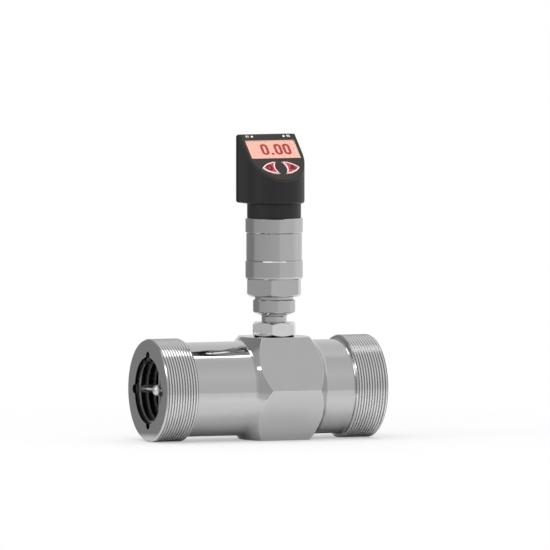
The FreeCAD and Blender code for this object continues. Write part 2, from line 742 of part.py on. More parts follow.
def make_swivel():
    """Neck of the head with its spigot, the seal round it and the clip below it."""
    neck = new_body("swivel_neck")
    spigot = "(swivel_spigot_diameter / 2)"
    seal_in = f"({spigot} - seal_section + seal_squeeze)"
    seal_z = "(-(top_ring_height - register_depth) / 2)"
    clip_z = "(-(top_ring_height - register_depth) - seat_gap)"
    clip_in = f"({spigot} - swivel_clip_height)"
    revolve(neck, "neck", [
        ("swivel_bore_diameter / 2", "-swivel_spigot_length"),
        (f"{spigot} - edge_chamfer", "-swivel_spigot_length"),
        (spigot, "edge_chamfer - swivel_spigot_length"),
        (spigot, "seat_gap"), ("swivel_diameter / 2", "seat_gap"),
        ("swivel_diameter / 2", "swivel_height"),
        ("swivel_bore_diameter / 2", "swivel_height")])
    outside = f"({spigot} + cut_margin)"
    half_groove = "seal_section * 0.6"
    groove(neck, "seal_groove", [
        (seal_in, f"{seal_z} - {half_groove}"), (outside, f"{seal_z} - {half_groove}"),
        (outside, f"{seal_z} + {half_groove}"), (seal_in, f"{seal_z} + {half_groove}")])
    groove(neck, "clip_groove", [
        (clip_in, f"{clip_z} - swivel_clip_height - fit_gap"),
        (outside, f"{clip_z} - swivel_clip_height - fit_gap"),
        (outside, clip_z), (clip_in, clip_z)])
    place_on_stem(neck, SWIVEL_Z)
    seal = new_body("swivel_seal")
    middle = f"({spigot} - seal_section / 2 + seal_squeeze / 2)"
    round_half = "(seal_section / 2 - seal_squeeze)"
    section = []
    for step in range(8):
        angle = 45 * step + 22.5
        section.append((f"{middle} + {round_half} * cos({angle})",
                        f"{seal_z} + {round_half} * sin({angle})"))
    revolve(seal, "ring", section)
    place_on_stem(seal, SWIVEL_Z)
    clip = new_body("swivel_clip")
    revolve(clip, "clip", [
        (f"{clip_in} + fit_gap", f"{clip_z} - swivel_clip_height"),
        (f"{spigot} + swivel_clip_height", f"{clip_z} - swivel_clip_height"),
        (f"{spigot} + swivel_clip_height", f"{clip_z} - fit_gap"),
        (f"{clip_in} + fit_gap", f"{clip_z} - fit_gap")],
            sweep="360 - clip_gap_angle")
    place_on_stem(clip, SWIVEL_Z)



# The head's own frame stands on the neck, with its origin on the stem's axis.
HALF = "head_half_width"
SHELL_BACK = "(head_depth - cover_thickness - gasket_thickness)"
COVER_FACE = "(head_depth - cover_thickness)"
SLOPE_ANGLE = "atan(slope_drop / slope_run)"
ALONG_CAVITY = "(head_wall + seat_gap)"


def draw_curved(sketch, corners):
    """Draw a closed outline of arcs through (across, up, sag) corners.

    The arc that leaves a corner swells to the right of its chord by the sag, or
    to the left for a negative one. Arcs are stored anticlockwise."""
    places = [Vector(value_of(across), value_of(up), 0) for across, up, sag in corners]
    ends = []
    for number, (across, up, sag) in enumerate(corners):
        start, finish = places[number], places[(number + 1) % len(places)]
        chord = finish - start
        swell = Vector(chord.y, -chord.x, 0).normalize() * value_of(sag)
        through = (start + finish) / 2 + swell
        if value_of(sag) > 0:
            edge = sketch.addGeometry(Part.Arc(start, through, finish), False)
            ends.append((edge, 1, 2))
        else:
            edge = sketch.addGeometry(Part.Arc(finish, through, start), False)
            ends.append((edge, 2, 1))
        next_across, next_up = corners[(number + 1) % len(corners)][:2]
        reach = f"(pow({next_across} - ({across}); 2) + pow({next_up} - ({up}); 2)) / 4"
        radius = f"abs(({reach} + pow({sag}; 2)) / (2 * ({sag})))"
        limit = sketch.addConstraint(Sketcher.Constraint("Radius", edge, value_of(radius)))
        sketch.setExpression(f"Constraints[{limit}]", bound(radius))
    for (edge, first, last), (following, start_end, _) in zip(ends, ends[1:] + ends[:1]):
        sketch.addConstraint(Sketcher.Constraint("Coincident", edge, last, following, start_end))
    for (edge, first, last), (across, up, sag) in zip(ends, corners):
        pin_point(sketch, edge, first, across, up)


def draw_head_plan(sketch, inset, back):
    """D-shaped plan of the head: two flat sides, a round front and a flat back."""
    side = f"({HALF} - ({inset}))"
    left, right = Vector(-value_of(side), 0, 0), Vector(value_of(side), 0, 0)
    rise = Vector(0, value_of(back), 0)
    front = sketch.addGeometry(Part.Arc(left, Vector(0, left.x, 0), right), False)
    lines = [sketch.addGeometry(Part.LineSegment(start, finish), False)
             for start, finish in ((right, right + rise), (right + rise, left + rise),
                                   (left + rise, left))]
    sketch.addConstraint(Sketcher.Constraint("Coincident", front, 3, -1, 1))
    for last, following in zip([front] + lines, lines + [front]):
        sketch.addConstraint(Sketcher.Constraint("Coincident", last, 2, following, 1))
    sketch.addConstraint(Sketcher.Constraint("PointOnObject", front, 1, -1))
    pin_point(sketch, lines[0], 1, side, "0")
    pin_point(sketch, lines[1], 1, side, back)
    pin_point(sketch, lines[2], 1, f"-{side}", back)


def slope_sketch(body, name, lift="0"):
    """Sketch in the plane of the sloped face: across is X, up runs up the slope
    from its top edge, and the lift is measured out of the face."""
    sketch = sketch_on(body, name, "XY_Plane")
    sketch.AttachmentOffset = Placement(Vector(), Rotation(Vector(1, 0, 0), value_of(SLOPE_ANGLE)))
    sketch.setExpression("AttachmentOffset.Rotation.Angle", bound(SLOPE_ANGLE))
    sketch.setExpression("AttachmentOffset.Base.y",
                         bound(f"slope_top - ({lift}) * sin({SLOPE_ANGLE})"))
    sketch.setExpression("AttachmentOffset.Base.z",
                         bound(f"head_height + ({lift}) * cos({SLOPE_ANGLE})"))
    return sketch


def cut_by_slope(body, name, lift, above=True):
    """Cut away what lies above (or below) a plane parallel to the sloped face."""
    plan = slope_sketch(body, name + "_area", lift)
    reach = "2 * head_height"
    draw_outline(plan, [(f"-{reach}", f"-{reach}"), (reach, f"-{reach}"),
                        (reach, reach), (f"-{reach}", reach)])
    return pocket(body, plan, name, reach, along_normal=above)


def slope_slab(body, inset, back, top, low, high):
    """Plate parallel to the sloped face between two lifts, with the head's plan."""
    plan = sketch_on(body, "plan", "XY_Plane")
    draw_head_plan(plan, inset, back)
    pad(body, plan, "block", top)
    cut_by_slope(body, "upper_cut", high)
    cut_by_slope(body, "lower_cut", low, above=False)


def place_on_head(body):
    place_on_stem(body, HEAD_Z)


def window_corners(grow):
    side = f"(window_width / 2 + {grow})"
    high = f"({grow} - window_setback)"
    low = f"(-window_setback - window_length - {grow})"
    return [(f"-{side}", low), (side, low), (side, high), (f"-{side}", high)]


def draw_button(sketch, side, grow="0"):
    """Leaf that points outwards, with swollen long edges and a hollow inner edge."""
    middle = "-button_setback"
    tip = f"({side}) * (button_spread + button_width / 2 + {grow})"
    inner = f"({side}) * (button_spread - button_width / 2 - {grow})"
    high = f"{middle} + button_length / 2 + {grow}"
    low = f"{middle} - button_length / 2 - {grow}"
    bulge = f"({side}) * button_bulge"
    draw_curved(sketch, [(inner, low, bulge), (tip, middle, bulge),
                         (inner, high, f"({side}) * (-button_concavity)")])


def straight_edges_at(shape, test):
    """Name the straight edges whose middle passes a test."""
    names = []
    for number, edge in enumerate(shape.Edges, start=1):
        if edge.Curve.TypeId == "Part::GeomLine" and test(edge):
            names.append(f"Edge{number}")
    return names


BOSS_SIDE = "(head_half_width - head_wall - boss_diameter / 2 + boss_bite)"


def boss_places():
    """Name, height and length of the screw bosses, lower pair first."""
    low = "head_wall + boss_diameter / 2 - boss_bite"
    high = "head_height - head_wall - boss_diameter / 2 + boss_bite"
    return [("lower", low, "lower_boss_length"), ("upper", high, "upper_boss_length")]


def hollow_out(body):
    """Take the inside out of the shell, one wall away from every outer face."""
    core = doc.addObject("PartDesign::Body", "head_hollow")
    plan = sketch_on(core, "hollow_plan", "XY_Plane", "head_wall")
    draw_head_plan(plan, "head_wall", f"{SHELL_BACK} + cut_margin")
    pad(core, plan, "hollow_block", "head_height - 2 * head_wall")
    cut_by_slope(core, "hollow_slope", "-head_wall")
    before = body_volume(body)
    hollow = body.newObject("PartDesign::Boolean", "hollow")
    hollow.setObjects([core])
    hollow.Type = 1
    body.Tip = hollow
    if body_volume(body) > before - 1e-6:
        raise RuntimeError("the head shell stayed solid")


def make_head_shell():
    """Moulded shell, open at the back, with the openings of its sloped face."""
    body = new_body("head_shell")
    plan = sketch_on(body, "plan", "XY_Plane")
    draw_head_plan(plan, "0", SHELL_BACK)
    block = pad(body, plan, "block", "head_height")
    doc.recompute()
    lowest = [f"Edge{number}" for number, edge in enumerate(block.Shape.Edges, start=1)
              if edge.BoundBox.ZMax < 1e-6 and edge.CenterOfMass.y < value_of(SHELL_BACK) - 0.1]
    foot = body.newObject("PartDesign::Fillet", "foot_round")
    foot.Base = (block, lowest)
    foot.setExpression("Radius", bound("head_fillet"))
    body.Tip = foot
    cut_by_slope(body, "slope", "0")
    hollow_out(body)
    opening = slope_sketch(body, "window_outline", "-2 * head_wall")
    draw_outline(opening, window_corners("fit_gap"))
    pocket(body, opening, "window_opening", "3 * head_wall")
    for side in ("-1", "1"):
        word = "left" if side == "-1" else "right"
        hole = slope_sketch(body, f"{word}_button_outline", "-2 * head_wall")
        draw_button(hole, side, "button_gap")
        pocket(body, hole, f"{word}_button_opening", "3 * head_wall")
        lens = slope_sketch(body, f"{word}_lens_circle", "-2 * head_wall")
        draw_circle(lens, "lens_diameter / 2 + fit_gap",
                    across=f"{side} * lens_spread", up="-lens_setback")
        pocket(body, lens, f"{word}_lens_hole", "3 * head_wall")
    way = sketch_on(body, "wire_way_circle", "XY_Plane")
    draw_circle(way, "swivel_bore_diameter / 2")
    pocket(body, way, "wire_way", "2 * head_wall")
    for name, rise, length in boss_places():
        for word, side in (("left", "-"), ("right", "")):
            boss = sketch_on(body, f"{word}_{name}_boss_circle", "XZ_Plane", f"-{SHELL_BACK}")
            draw_circle(boss, "boss_diameter / 2", across=f"{side}{BOSS_SIDE}", up=rise)
            pad(body, boss, f"{word}_{name}_boss", length)
            hole = sketch_on(body, f"{word}_{name}_pilot_circle", "XZ_Plane", f"-{SHELL_BACK}")
            draw_circle(hole, "cover_screw_diameter / 2 + fit_gap",
                        across=f"{side}{BOSS_SIDE}", up=rise)
            pocket(body, hole, f"{word}_{name}_pilot", f"{length} - 2 * seat_gap")
    place_on_head(body)



def make_faceplate():
    """Thin membrane on the sloped face with its window and button cut-outs."""
    body = new_body("faceplate")
    slope_slab(body, "overlay_margin", "(slope_top - overlay_margin)",
               "head_height + 4 * overlay_thickness", "0", "overlay_thickness")
    opening = slope_sketch(body, "window_outline", "-overlay_thickness")
    draw_outline(opening, window_corners("fit_gap"))
    pocket(body, opening, "window_opening", "3 * overlay_thickness")
    for word, side in (("left", "-1"), ("right", "1")):
        hole = slope_sketch(body, f"{word}_button_outline", "-overlay_thickness")
        draw_button(hole, side, "button_gap")
        pocket(body, hole, f"{word}_button_opening", "3 * overlay_thickness")
        lens = slope_sketch(body, f"{word}_lens_circle", "-overlay_thickness")
        draw_circle(lens, "lens_diameter / 2 + fit_gap",
                    across=f"{side} * lens_spread", up="-lens_setback")
        pocket(body, lens, f"{word}_lens_hole", "3 * overlay_thickness")
    place_on_head(body)


WINDOW_BACK = "(window_thickness - overlay_thickness + fit_gap)"
BOARD_DEPTH = f"({WINDOW_BACK} + module_depth)"


def make_display():
    """Clear window, display module behind it and the board that carries both."""
    window = new_body("display_window")
    pane = slope_sketch(window, "pane_outline", "overlay_thickness - window_thickness")
    draw_outline(pane, window_corners("0"))
    pad(window, pane, "pane", "window_thickness")
    place_on_head(window)
    module = new_body("display_module")
    block = slope_sketch(module, "module_outline", f"-{BOARD_DEPTH}")
    draw_outline(block, window_corners("-module_margin"))
    pad(module, block, "module", "module_depth")
    place_on_head(module)
    board = new_body("display_board")
    slope_slab(board, ALONG_CAVITY, "(slope_top - head_wall)", "head_height",
               f"-{BOARD_DEPTH} - display_board_thickness", f"-{BOARD_DEPTH}")
    place_on_head(board)


def make_button(word, side):
    """Button cap kept in the shell by a wider flange, above its switch."""
    body = new_body(f"{word}_button")
    under = "(head_wall + seat_gap)"
    cap = slope_sketch(body, "cap_outline", f"-{under} - button_flange / 2")
    draw_button(cap, side)
    pad(body, cap, "cap", f"{under} + button_flange / 2 + overlay_thickness + button_rise")
    flange = slope_sketch(body, "flange_outline", f"-{under} - button_flange")
    draw_button(flange, side, "button_flange")
    pad(body, flange, "flange", "button_flange")
    place_on_head(body)


def make_switch(word, side):
    """Low switch on the display board with its plunger under the button."""
    body = new_body(f"{word}_switch")
    centre = f"{side} * button_spread"
    half = "switch_size / 2"
    base = slope_sketch(body, "base_outline", f"-{BOARD_DEPTH}")
    low = f"-button_setback - {half}"
    high = f"{half} - button_setback"
    draw_outline(base, [(f"{centre} - {half}", low), (f"{centre} + {half}", low),
                        (f"{centre} + {half}", high), (f"{centre} - {half}", high)])
    pad(body, base, "base", "switch_height")
    plunger = slope_sketch(body, "plunger_circle", f"switch_height - {BOARD_DEPTH}")
    draw_circle(plunger, "plunger_diameter / 2", across=centre, up="-button_setback")
    pad(body, plunger, "plunger", "plunger_height")
    place_on_head(body)


def make_status_lens(word, side):
    """Light pipe for one status lamp, with a shoulder inside the shell."""
    body = new_body(f"{word}_status_lens")
    centre = f"{side} * lens_spread"
    bottom = "head_wall + seat_gap + lens_shoulder"
    shoulder = slope_sketch(body, "shoulder_circle", f"-({bottom})")
    draw_circle(shoulder, "lens_diameter / 2 + lens_shoulder / 2", across=centre,
                up="-lens_setback")
    pad(body, shoulder, "shoulder", "lens_shoulder")
    stalk = slope_sketch(body, "stalk_circle", f"-({bottom})")
    draw_circle(stalk, "lens_diameter / 2", across=centre, up="-lens_setback")
    pad(body, stalk, "stalk", f"{bottom} + overlay_thickness")
    place_on_head(body)


def rectangle(left, low, right, high):
    return [(left, low), (right, low), (right, high), (left, high)]


def make_back_cover():
    """Back cover with two inner lips, its gasket and its four screws."""
    cover = new_body("head_back_cover")
    plate = sketch_on(cover, "plate_outline", "XZ_Plane", "-head_depth")
    draw_outline(plate, rectangle(f"-{HALF}", "0", HALF, "head_height"))
    block = pad(cover, plate, "plate", "cover_thickness")
    doc.recompute()
    depth = value_of("cover_thickness")
    corners = straight_edges_at(block.Shape, lambda edge: abs(edge.BoundBox.YLength - depth) < 1e-6)
    rounded = cover.newObject("PartDesign::Fillet", "corner_round")
    rounded.Base = (block, corners)
    rounded.setExpression("Radius", bound("head_fillet"))
    cover.Tip = rounded
    doc.recompute()
    outer = value_of("head_depth")
    rim = [f"Edge{number}" for number, edge in enumerate(rounded.Shape.Edges, start=1)
           if edge.BoundBox.YMin > outer - 1e-6]
    softened = cover.newObject("PartDesign::Fillet", "rim_round")
    softened.Base = (rounded, rim)
    softened.setExpression("Radius", bound("head_fillet / 2"))
    cover.Tip = softened
    lip_out = "(head_half_width - head_wall - seat_gap)"
    for word, side in (("left", "-"), ("right", "")):
        lip = sketch_on(cover, f"{word}_lip_outline", "XZ_Plane", f"-{COVER_FACE}")
        draw_outline(lip, rectangle(f"{side}{lip_out}", "head_height * 0.25",
                                    f"{side}({lip_out} - cover_lip_width)", "head_height * 0.75"))
        pad(cover, lip, f"{word}_lip", "gasket_thickness + cover_lip_depth")
        for name, rise, length in boss_places():
            hole = sketch_on(cover, f"{word}_{name}_hole_circle", "XZ_Plane",
                             "-head_depth - cut_margin")
            draw_circle(hole, "cover_screw_diameter / 2 + fit_gap",
                        across=f"{side}{BOSS_SIDE}", up=rise)
            pocket(cover, hole, f"{word}_{name}_hole")
            seat = sketch_on(cover, f"{word}_{name}_seat_circle", "XZ_Plane", "-head_depth")
            draw_circle(seat, "screw_head_diameter / 2 + fit_gap",
                        across=f"{side}{BOSS_SIDE}", up=rise)
            pocket(cover, seat, f"{word}_{name}_seat", "screw_head_height")
    way = sketch_on(cover, "connector_circle", "XZ_Plane", "-head_depth - cut_margin")
    draw_circle(way, "connector_tail_diameter / 2 + fit_gap", up="connector_rise")
    pocket(cover, way, "connector_hole")
    place_on_head(cover)

    gasket = new_body("back_cover_gasket")
    frame = sketch_on(gasket, "frame_outline", "XZ_Plane", f"-{COVER_FACE}")
    edge = "overlay_margin"
    draw_outline(frame, rectangle(f"{edge} - {HALF}", edge, f"{HALF} - {edge}",
                                  f"head_height - {edge}"))
    draw_outline(frame, rectangle(f"head_wall - {HALF}", "head_wall", f"{HALF} - head_wall",
                                  "head_height - head_wall"))
    pad(gasket, frame, "frame", "gasket_thickness")
    place_on_head(gasket)

    screws = new_body("back_cover_screws")
    screws.AllowCompound = True
    heads = sketch_on(screws, "head_circles", "XZ_Plane", "-head_depth")
    shanks = sketch_on(screws, "shank_circles", "XZ_Plane", "screw_head_height - head_depth")
    for side in ("-", ""):
        for name, rise, length in boss_places():
            draw_circle(heads, "screw_head_diameter / 2", across=f"{side}{BOSS_SIDE}", up=rise)
            draw_circle(shanks, "cover_screw_diameter / 2", across=f"{side}{BOSS_SIDE}", up=rise)
    pad(screws, heads, "heads", "screw_head_height")
    pad(screws, shanks, "shanks", "cover_screw_length - screw_head_height")
    place_on_head(screws)


def place_connector(body, height="0"):
    place(body, x=STEM_X, y=f"head_depth + {height}", z=f"{HEAD_Z} + connector_rise",
          axis=Vector(1, 0, 0), turn="-90")


def make_connector():
    """Round connector on the cover: socket shell, insert, pins, seal and nut."""
    shell = new_body("connector_shell")
    tail = "connector_tail_diameter / 2"
    foot = "connector_seal_thickness"
    barrel = "connector_diameter / 2"
    floor = "(connector_length - socket_depth)"
    tail_end = "(-cover_thickness - connector_nut_height - edge_chamfer)"
    throat = "(socket_diameter / 2 - pin_diameter)"
    revolve(shell, "shell", [
        (throat, tail_end), (tail, tail_end), (tail, foot),
        ("connector_flange / 2 - edge_chamfer", foot),
        ("connector_flange / 2", f"{foot} + edge_chamfer"),
        ("connector_flange / 2", f"{foot} + connector_flange_height"),
        (barrel, f"{foot} + connector_flange_height"),
        (barrel, "connector_length - edge_chamfer"),
        (f"{barrel} - edge_chamfer", "connector_length"),
        ("socket_diameter / 2", "connector_length"), ("socket_diameter / 2", floor),
        (throat, floor)])
    place_connector(shell)
    insert = new_body("connector_insert")
    revolve(insert, "disc", [("0", floor), ("socket_diameter / 2 - fit_gap", floor),
                             ("socket_diameter / 2 - fit_gap", f"{floor} + insert_height"),
                             ("0", f"{floor} + insert_height")])
    hole = sketch_on(insert, "hole_circle", "XY_Plane", floor)
    draw_circle(hole, "pin_diameter / 2 + fit_gap", across="pin_circle_diameter / 2")
    repeat_round(insert, pocket(insert, hole, "hole"), "holes", "4")
    place_connector(insert)
    pins = new_body("connector_pins")
    pins.AllowCompound = True
    section = sketch_on(pins, "pin_circles", "XY_Plane", floor)
    for angle in range(0, 360, 90):
        draw_circle(section, "pin_diameter / 2",
                    across=f"pin_circle_diameter / 2 * cos({angle})",
                    up=f"pin_circle_diameter / 2 * sin({angle})")
    pad(pins, section, "pins", "pin_length")
    place_connector(pins)
    seal = new_body("connector_seal")
    revolve(seal, "ring", [
        (f"{tail} + fit_gap", "0"), ("connector_flange / 2 - edge_chamfer", "0"),
        ("connector_flange / 2 - edge_chamfer", "connector_seal_thickness"),
        (f"{tail} + fit_gap", "connector_seal_thickness")])
    place_connector(seal)
    nut = new_body("connector_nut")
    hexagon = sketch_on(nut, "hexagon", "XY_Plane")
    draw_hexagon(hexagon, "connector_nut_across")
    pad(nut, hexagon, "nut_block", "connector_nut_height")
    bore = sketch_on(nut, "bore_circle", "XY_Plane")
    draw_circle(bore, f"{tail} + fit_gap")
    pocket(nut, bore, "bore")
    place_connector(nut, "(-cover_thickness - connector_nut_height)")


make_meter_body()
make_flow_path()
make_lock_nut()
make_pickup_stem()
make_pickup_parts()
make_union_ring()
make_hex_adapter()
make_housing()
make_swivel()
make_head_shell()
make_faceplate()
make_display()
for word, side in (("left", "-1"), ("right", "1")):
    make_button(word, side)
    make_switch(word, side)
    make_status_lens(word, side)
make_back_cover()
make_connector()

doc.recompute()
for item in doc.Objects:
    faults = [word for word in item.State if word in ("Invalid", "Error")]
    if faults:
        raise RuntimeError(f"{item.Label} did not build: {faults}")
os.makedirs("parts", exist_ok=True)
for body in exported:
    shape = body.Shape
    if shape.isNull() or not shape.isValid():
        raise RuntimeError(f"{body.Label} has no sound shape")
    shape.exportStep(f"parts/{body.Label}.step")
    print(f"{body.Label:28s} {len(shape.Solids)} solid(s) {shape.Volume:12.2f} mm3", shape.BoundBox)
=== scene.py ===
# %% [markdown]
# # Dressing a turbine flow meter
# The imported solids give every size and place. This file keeps them as a fixed frame, in
# metres, and adds what only shows up close: the pipe threads, fine edge breaks, the lit
# digits, and a finish for each material. The load call comes first, because every later
# step asks the frame where things are.

# %% Load the frame
import json
import math
import bmesh
import bpy
from mathutils import Matrix, Vector

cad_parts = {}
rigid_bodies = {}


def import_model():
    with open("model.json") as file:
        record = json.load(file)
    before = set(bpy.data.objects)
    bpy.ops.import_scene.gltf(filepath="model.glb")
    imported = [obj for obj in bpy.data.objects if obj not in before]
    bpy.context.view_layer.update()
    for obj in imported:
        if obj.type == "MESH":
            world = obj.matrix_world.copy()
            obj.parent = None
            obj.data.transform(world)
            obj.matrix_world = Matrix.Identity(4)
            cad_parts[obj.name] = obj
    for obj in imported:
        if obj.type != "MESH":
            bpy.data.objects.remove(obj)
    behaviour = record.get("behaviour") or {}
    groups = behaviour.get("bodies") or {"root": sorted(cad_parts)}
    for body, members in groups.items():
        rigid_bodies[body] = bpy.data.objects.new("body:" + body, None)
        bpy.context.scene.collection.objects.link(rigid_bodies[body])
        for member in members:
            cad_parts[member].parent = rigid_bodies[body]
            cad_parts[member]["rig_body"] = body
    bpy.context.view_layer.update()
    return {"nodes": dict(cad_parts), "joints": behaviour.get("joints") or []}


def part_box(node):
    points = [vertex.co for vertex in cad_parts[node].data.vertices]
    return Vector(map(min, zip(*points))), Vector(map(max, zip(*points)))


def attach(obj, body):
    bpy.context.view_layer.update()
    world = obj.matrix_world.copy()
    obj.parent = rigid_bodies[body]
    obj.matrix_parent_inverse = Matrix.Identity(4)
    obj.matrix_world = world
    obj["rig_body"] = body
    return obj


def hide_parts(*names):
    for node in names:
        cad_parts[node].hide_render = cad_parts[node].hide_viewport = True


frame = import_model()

MM = 0.001

# %% [markdown]
# ## Landmarks
# The pipe lies along X and the stem stands along Z. Their two axes are read from the solids:
# the height of the pipe's axis from the turbine's shaft, and the stem's place from the round
# housing. The two ends of the pipe are those of the body.

# %% Read the two axes
def middle_of(node):
    """The middle of a solid's box."""
    low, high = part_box(node)
    return (low + high) / 2


body_low, body_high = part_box("meter_body")
INLET_X, OUTLET_X = body_low.x, body_high.x
STEM_X = middle_of("housing_sleeve").x
AXIS_Z = middle_of("turbine_shaft").z
print("stem x %.4f, pipe axis z %.4f, ends %.3f %.3f" % (STEM_X, AXIS_Z, INLET_X, OUTLET_X))

# %% [markdown]
# The tube beside the hexagon and the thread on the two end rings are needed more than once,
# so their sizes stand here: three radii, then the length of a ring, the thread's pitch and
# the chamfer at a ring's ends.

# %% Set the sizes of the tube and its threads
TUBE, THREAD_ROOT, THREAD_CREST = 27.5 * MM, 29.05 * MM, 30.0 * MM
RING_LENGTH, THREAD_PITCH, RING_CHAMFER = 20.0 * MM, 1.667 * MM, 0.8 * MM
print("thread turns on a ring:", round(RING_LENGTH / THREAD_PITCH, 1))

# %% [markdown]
# ## The camera
# A long lens keeps the outlines nearly parallel, so the pipe's two ends come out almost the
# same height. The camera stands low, a few degrees above the table, and turned to the left,
# so it looks a little way into the inlet. It aims at a point above the pipe, beside the stem.

# %% Set up the camera
AZIMUTH, ELEVATION = -23.2, 3.0
LENS_MM, SENSOR_MM, VIEW_WIDTH = 1500.0, 36.0, 0.3208
turn, lift = math.radians(AZIMUTH), math.radians(ELEVATION)
BACK = Vector((math.sin(turn) * math.cos(lift), -math.cos(turn) * math.cos(lift),
               math.sin(lift)))
RIGHT = Vector((math.cos(turn), math.sin(turn), 0.0))
UP = BACK.cross(RIGHT)
AIM_RIGHT, AIM_UP = 0.55 * MM, 65.6 * MM
AIM = Vector((STEM_X, 0.0, AXIS_Z)) + AIM_RIGHT * RIGHT + AIM_UP * UP
camera_data = bpy.data.cameras.new("long_lens")
camera_data.lens = LENS_MM
camera_data.sensor_width = SENSOR_MM
camera_data.clip_end = 50.0
camera = bpy.data.objects.new("camera", camera_data)
bpy.context.scene.collection.objects.link(camera)
camera.location = AIM + BACK * (VIEW_WIDTH * LENS_MM / SENSOR_MM)
camera.rotation_euler = BACK.to_track_quat("Z", "Y").to_euler()
bpy.context.scene.camera = camera
bpy.context.scene.view_settings.view_transform = "Standard"
print("camera at", [round(v, 3) for v in camera.location])

# %% [markdown]
# ## Helpers for materials
# Colours are written as sRGB hex, as a colour picker shows them, and one function turns them
# to the linear values that a shader works with. Another one adds a node, sets it and links
# it, so that a material reads as a list of its steps. The last four are the steps that most
# materials share: a noise, a tone that drifts with it, an uneven gloss and a slight relief.

# %% Colour and node helpers
def linear(code):
    """The linear RGBA of an sRGB hex code such as "#b4b4b2"."""
    parts = [int(code[i:i + 2], 16) / 255 for i in (1, 3, 5)]
    return tuple(c / 12.92 if c <= 0.04045 else ((c + 0.055) / 1.055) ** 2.4
                 for c in parts) + (1.0,)


def add_node(tree, kind, inputs, **settings):
    """Adds a node. An input is a value, or the socket of another node to link from."""
    node = tree.nodes.new(kind)
    for name, value in settings.items():
        setattr(node, name, value)
    for name, value in inputs.items():
        if isinstance(value, bpy.types.NodeSocket):
            tree.links.new(value, node.inputs[name])
        else:
            node.inputs[name].default_value = value
    return node


def new_material(name):
    """An empty node material with its output, and the shader that feeds it."""
    material = bpy.data.materials.new(name)
    material.use_nodes = True
    tree = material.node_tree
    tree.nodes.clear()
    shader = tree.nodes.new("ShaderNodeBsdfPrincipled")
    add_node(tree, "ShaderNodeOutputMaterial", {"Surface": shader.outputs[0]})
    return material, tree, shader


def feed_output(tree, socket):
    """Feeds the material's output from this socket, in place of the shader."""
    output = next(n for n in tree.nodes if n.type == "OUTPUT_MATERIAL")
    tree.links.new(socket, output.inputs["Surface"])


def noise(tree, vector, scale, detail, **more):
    """The value of a noise at each point."""
    inputs = {"Vector": vector, "Scale": scale, "Detail": detail, **more}
    return add_node(tree, "ShaderNodeTexNoise", inputs).outputs["Fac"]


def mix_tones(tree, factor, dark, light):
    """A tone between two hex codes."""
    inputs = {0: factor, 6: linear(dark), 7: linear(light)}
    return add_node(tree, "ShaderNodeMix", inputs, data_type="RGBA").outputs[2]


def spread_gloss(tree, shader, factor, smallest, largest, edge=0.3):
    """Varies the roughness between two values. A noise keeps to the middle of its range."""
    gloss = add_node(tree, "ShaderNodeMapRange",
                     {"Value": factor, "From Min": edge, "From Max": 1.0 - edge,
                      "To Min": smallest, "To Max": largest})
    tree.links.new(gloss.outputs[0], shader.inputs["Roughness"])


def raise_relief(tree, shader, height, strength, depth_mm):
    """Bends the light over a fine relief."""
    bump = add_node(tree, "ShaderNodeBump",
                    {"Height": height, "Strength": strength, "Distance": depth_mm * MM})
    tree.links.new(bump.outputs[0], shader.inputs["Normal"])


print("grey #808080 is", round(linear("#808080")[0], 3), "linear")

# %% [markdown]
# ## Turned stainless steel
# The pipe, the housing and the round rings are stainless steel that was turned on a lathe.
# A lathe tool leaves a spiral of very fine lines round the part's own axis, so the pattern
# depends only on how far along the axis and how far from it a point is. Noise on those two
# numbers draws rings on a cylinder and circles on its end face. Real feed marks are 0.05 to
# 0.1 mm apart, too fine to see here, so they are drawn at about 0.4 mm and very faint.

# %% Turned steel
def turned_steel(name, along_pipe, light, dark, rough):
    """Stainless steel with lathe marks round the pipe's axis or round the stem's."""
    material, tree, shader = new_material(name)
    place = add_node(tree, "ShaderNodeTexCoord", {})
    centre = (0.0, 0.0, AXIS_Z) if along_pipe else (STEM_X, 0.0, 0.0)
    offset = add_node(tree, "ShaderNodeVectorMath",
                      {0: place.outputs["Object"], 1: centre}, operation="SUBTRACT")
    across = add_node(tree, "ShaderNodeVectorMath",
                      {0: offset.outputs[0], 1: (0, 1, 1) if along_pipe else (1, 1, 0)},
                      operation="MULTIPLY")
    radius = add_node(tree, "ShaderNodeVectorMath", {0: across.outputs[0]},
                      operation="LENGTH")
    split = add_node(tree, "ShaderNodeSeparateXYZ", {0: offset.outputs[0]})
    marks = add_node(tree, "ShaderNodeCombineXYZ",
                     {"X": split.outputs["X" if along_pipe else "Z"],
                      "Y": radius.outputs["Value"]})
    fine = noise(tree, marks.outputs[0], 2500.0, 2.0)
    cloud = noise(tree, place.outputs["Object"], 60.0, 3.0)
    both = add_node(tree, "ShaderNodeMix", {"Factor": 0.35, "A": fine, "B": cloud},
                    data_type="FLOAT").outputs[0]
    tree.links.new(mix_tones(tree, both, dark, light), shader.inputs["Base Color"])
    spread_gloss(tree, shader, both, rough * 0.8, rough * 1.2, 0.25)
    raise_relief(tree, shader, fine, 0.05, 0.02)
    shader.inputs["Metallic"].default_value = 1.0
    return material


PIPE_STEEL = turned_steel("turned_stainless_pipe", True, "#cccccc", "#c6c6c6", 0.05)
HOUSING_STEEL = turned_steel("turned_stainless_housing", False, "#cbcbcb", "#c6c6c6", 0.12)
THREAD_STEEL = turned_steel("screw_cut_stainless", True, "#e6e6e6", "#dedede", 0.15)
print("turned steels:", PIPE_STEEL.name, HOUSING_STEEL.name, THREAD_STEEL.name)
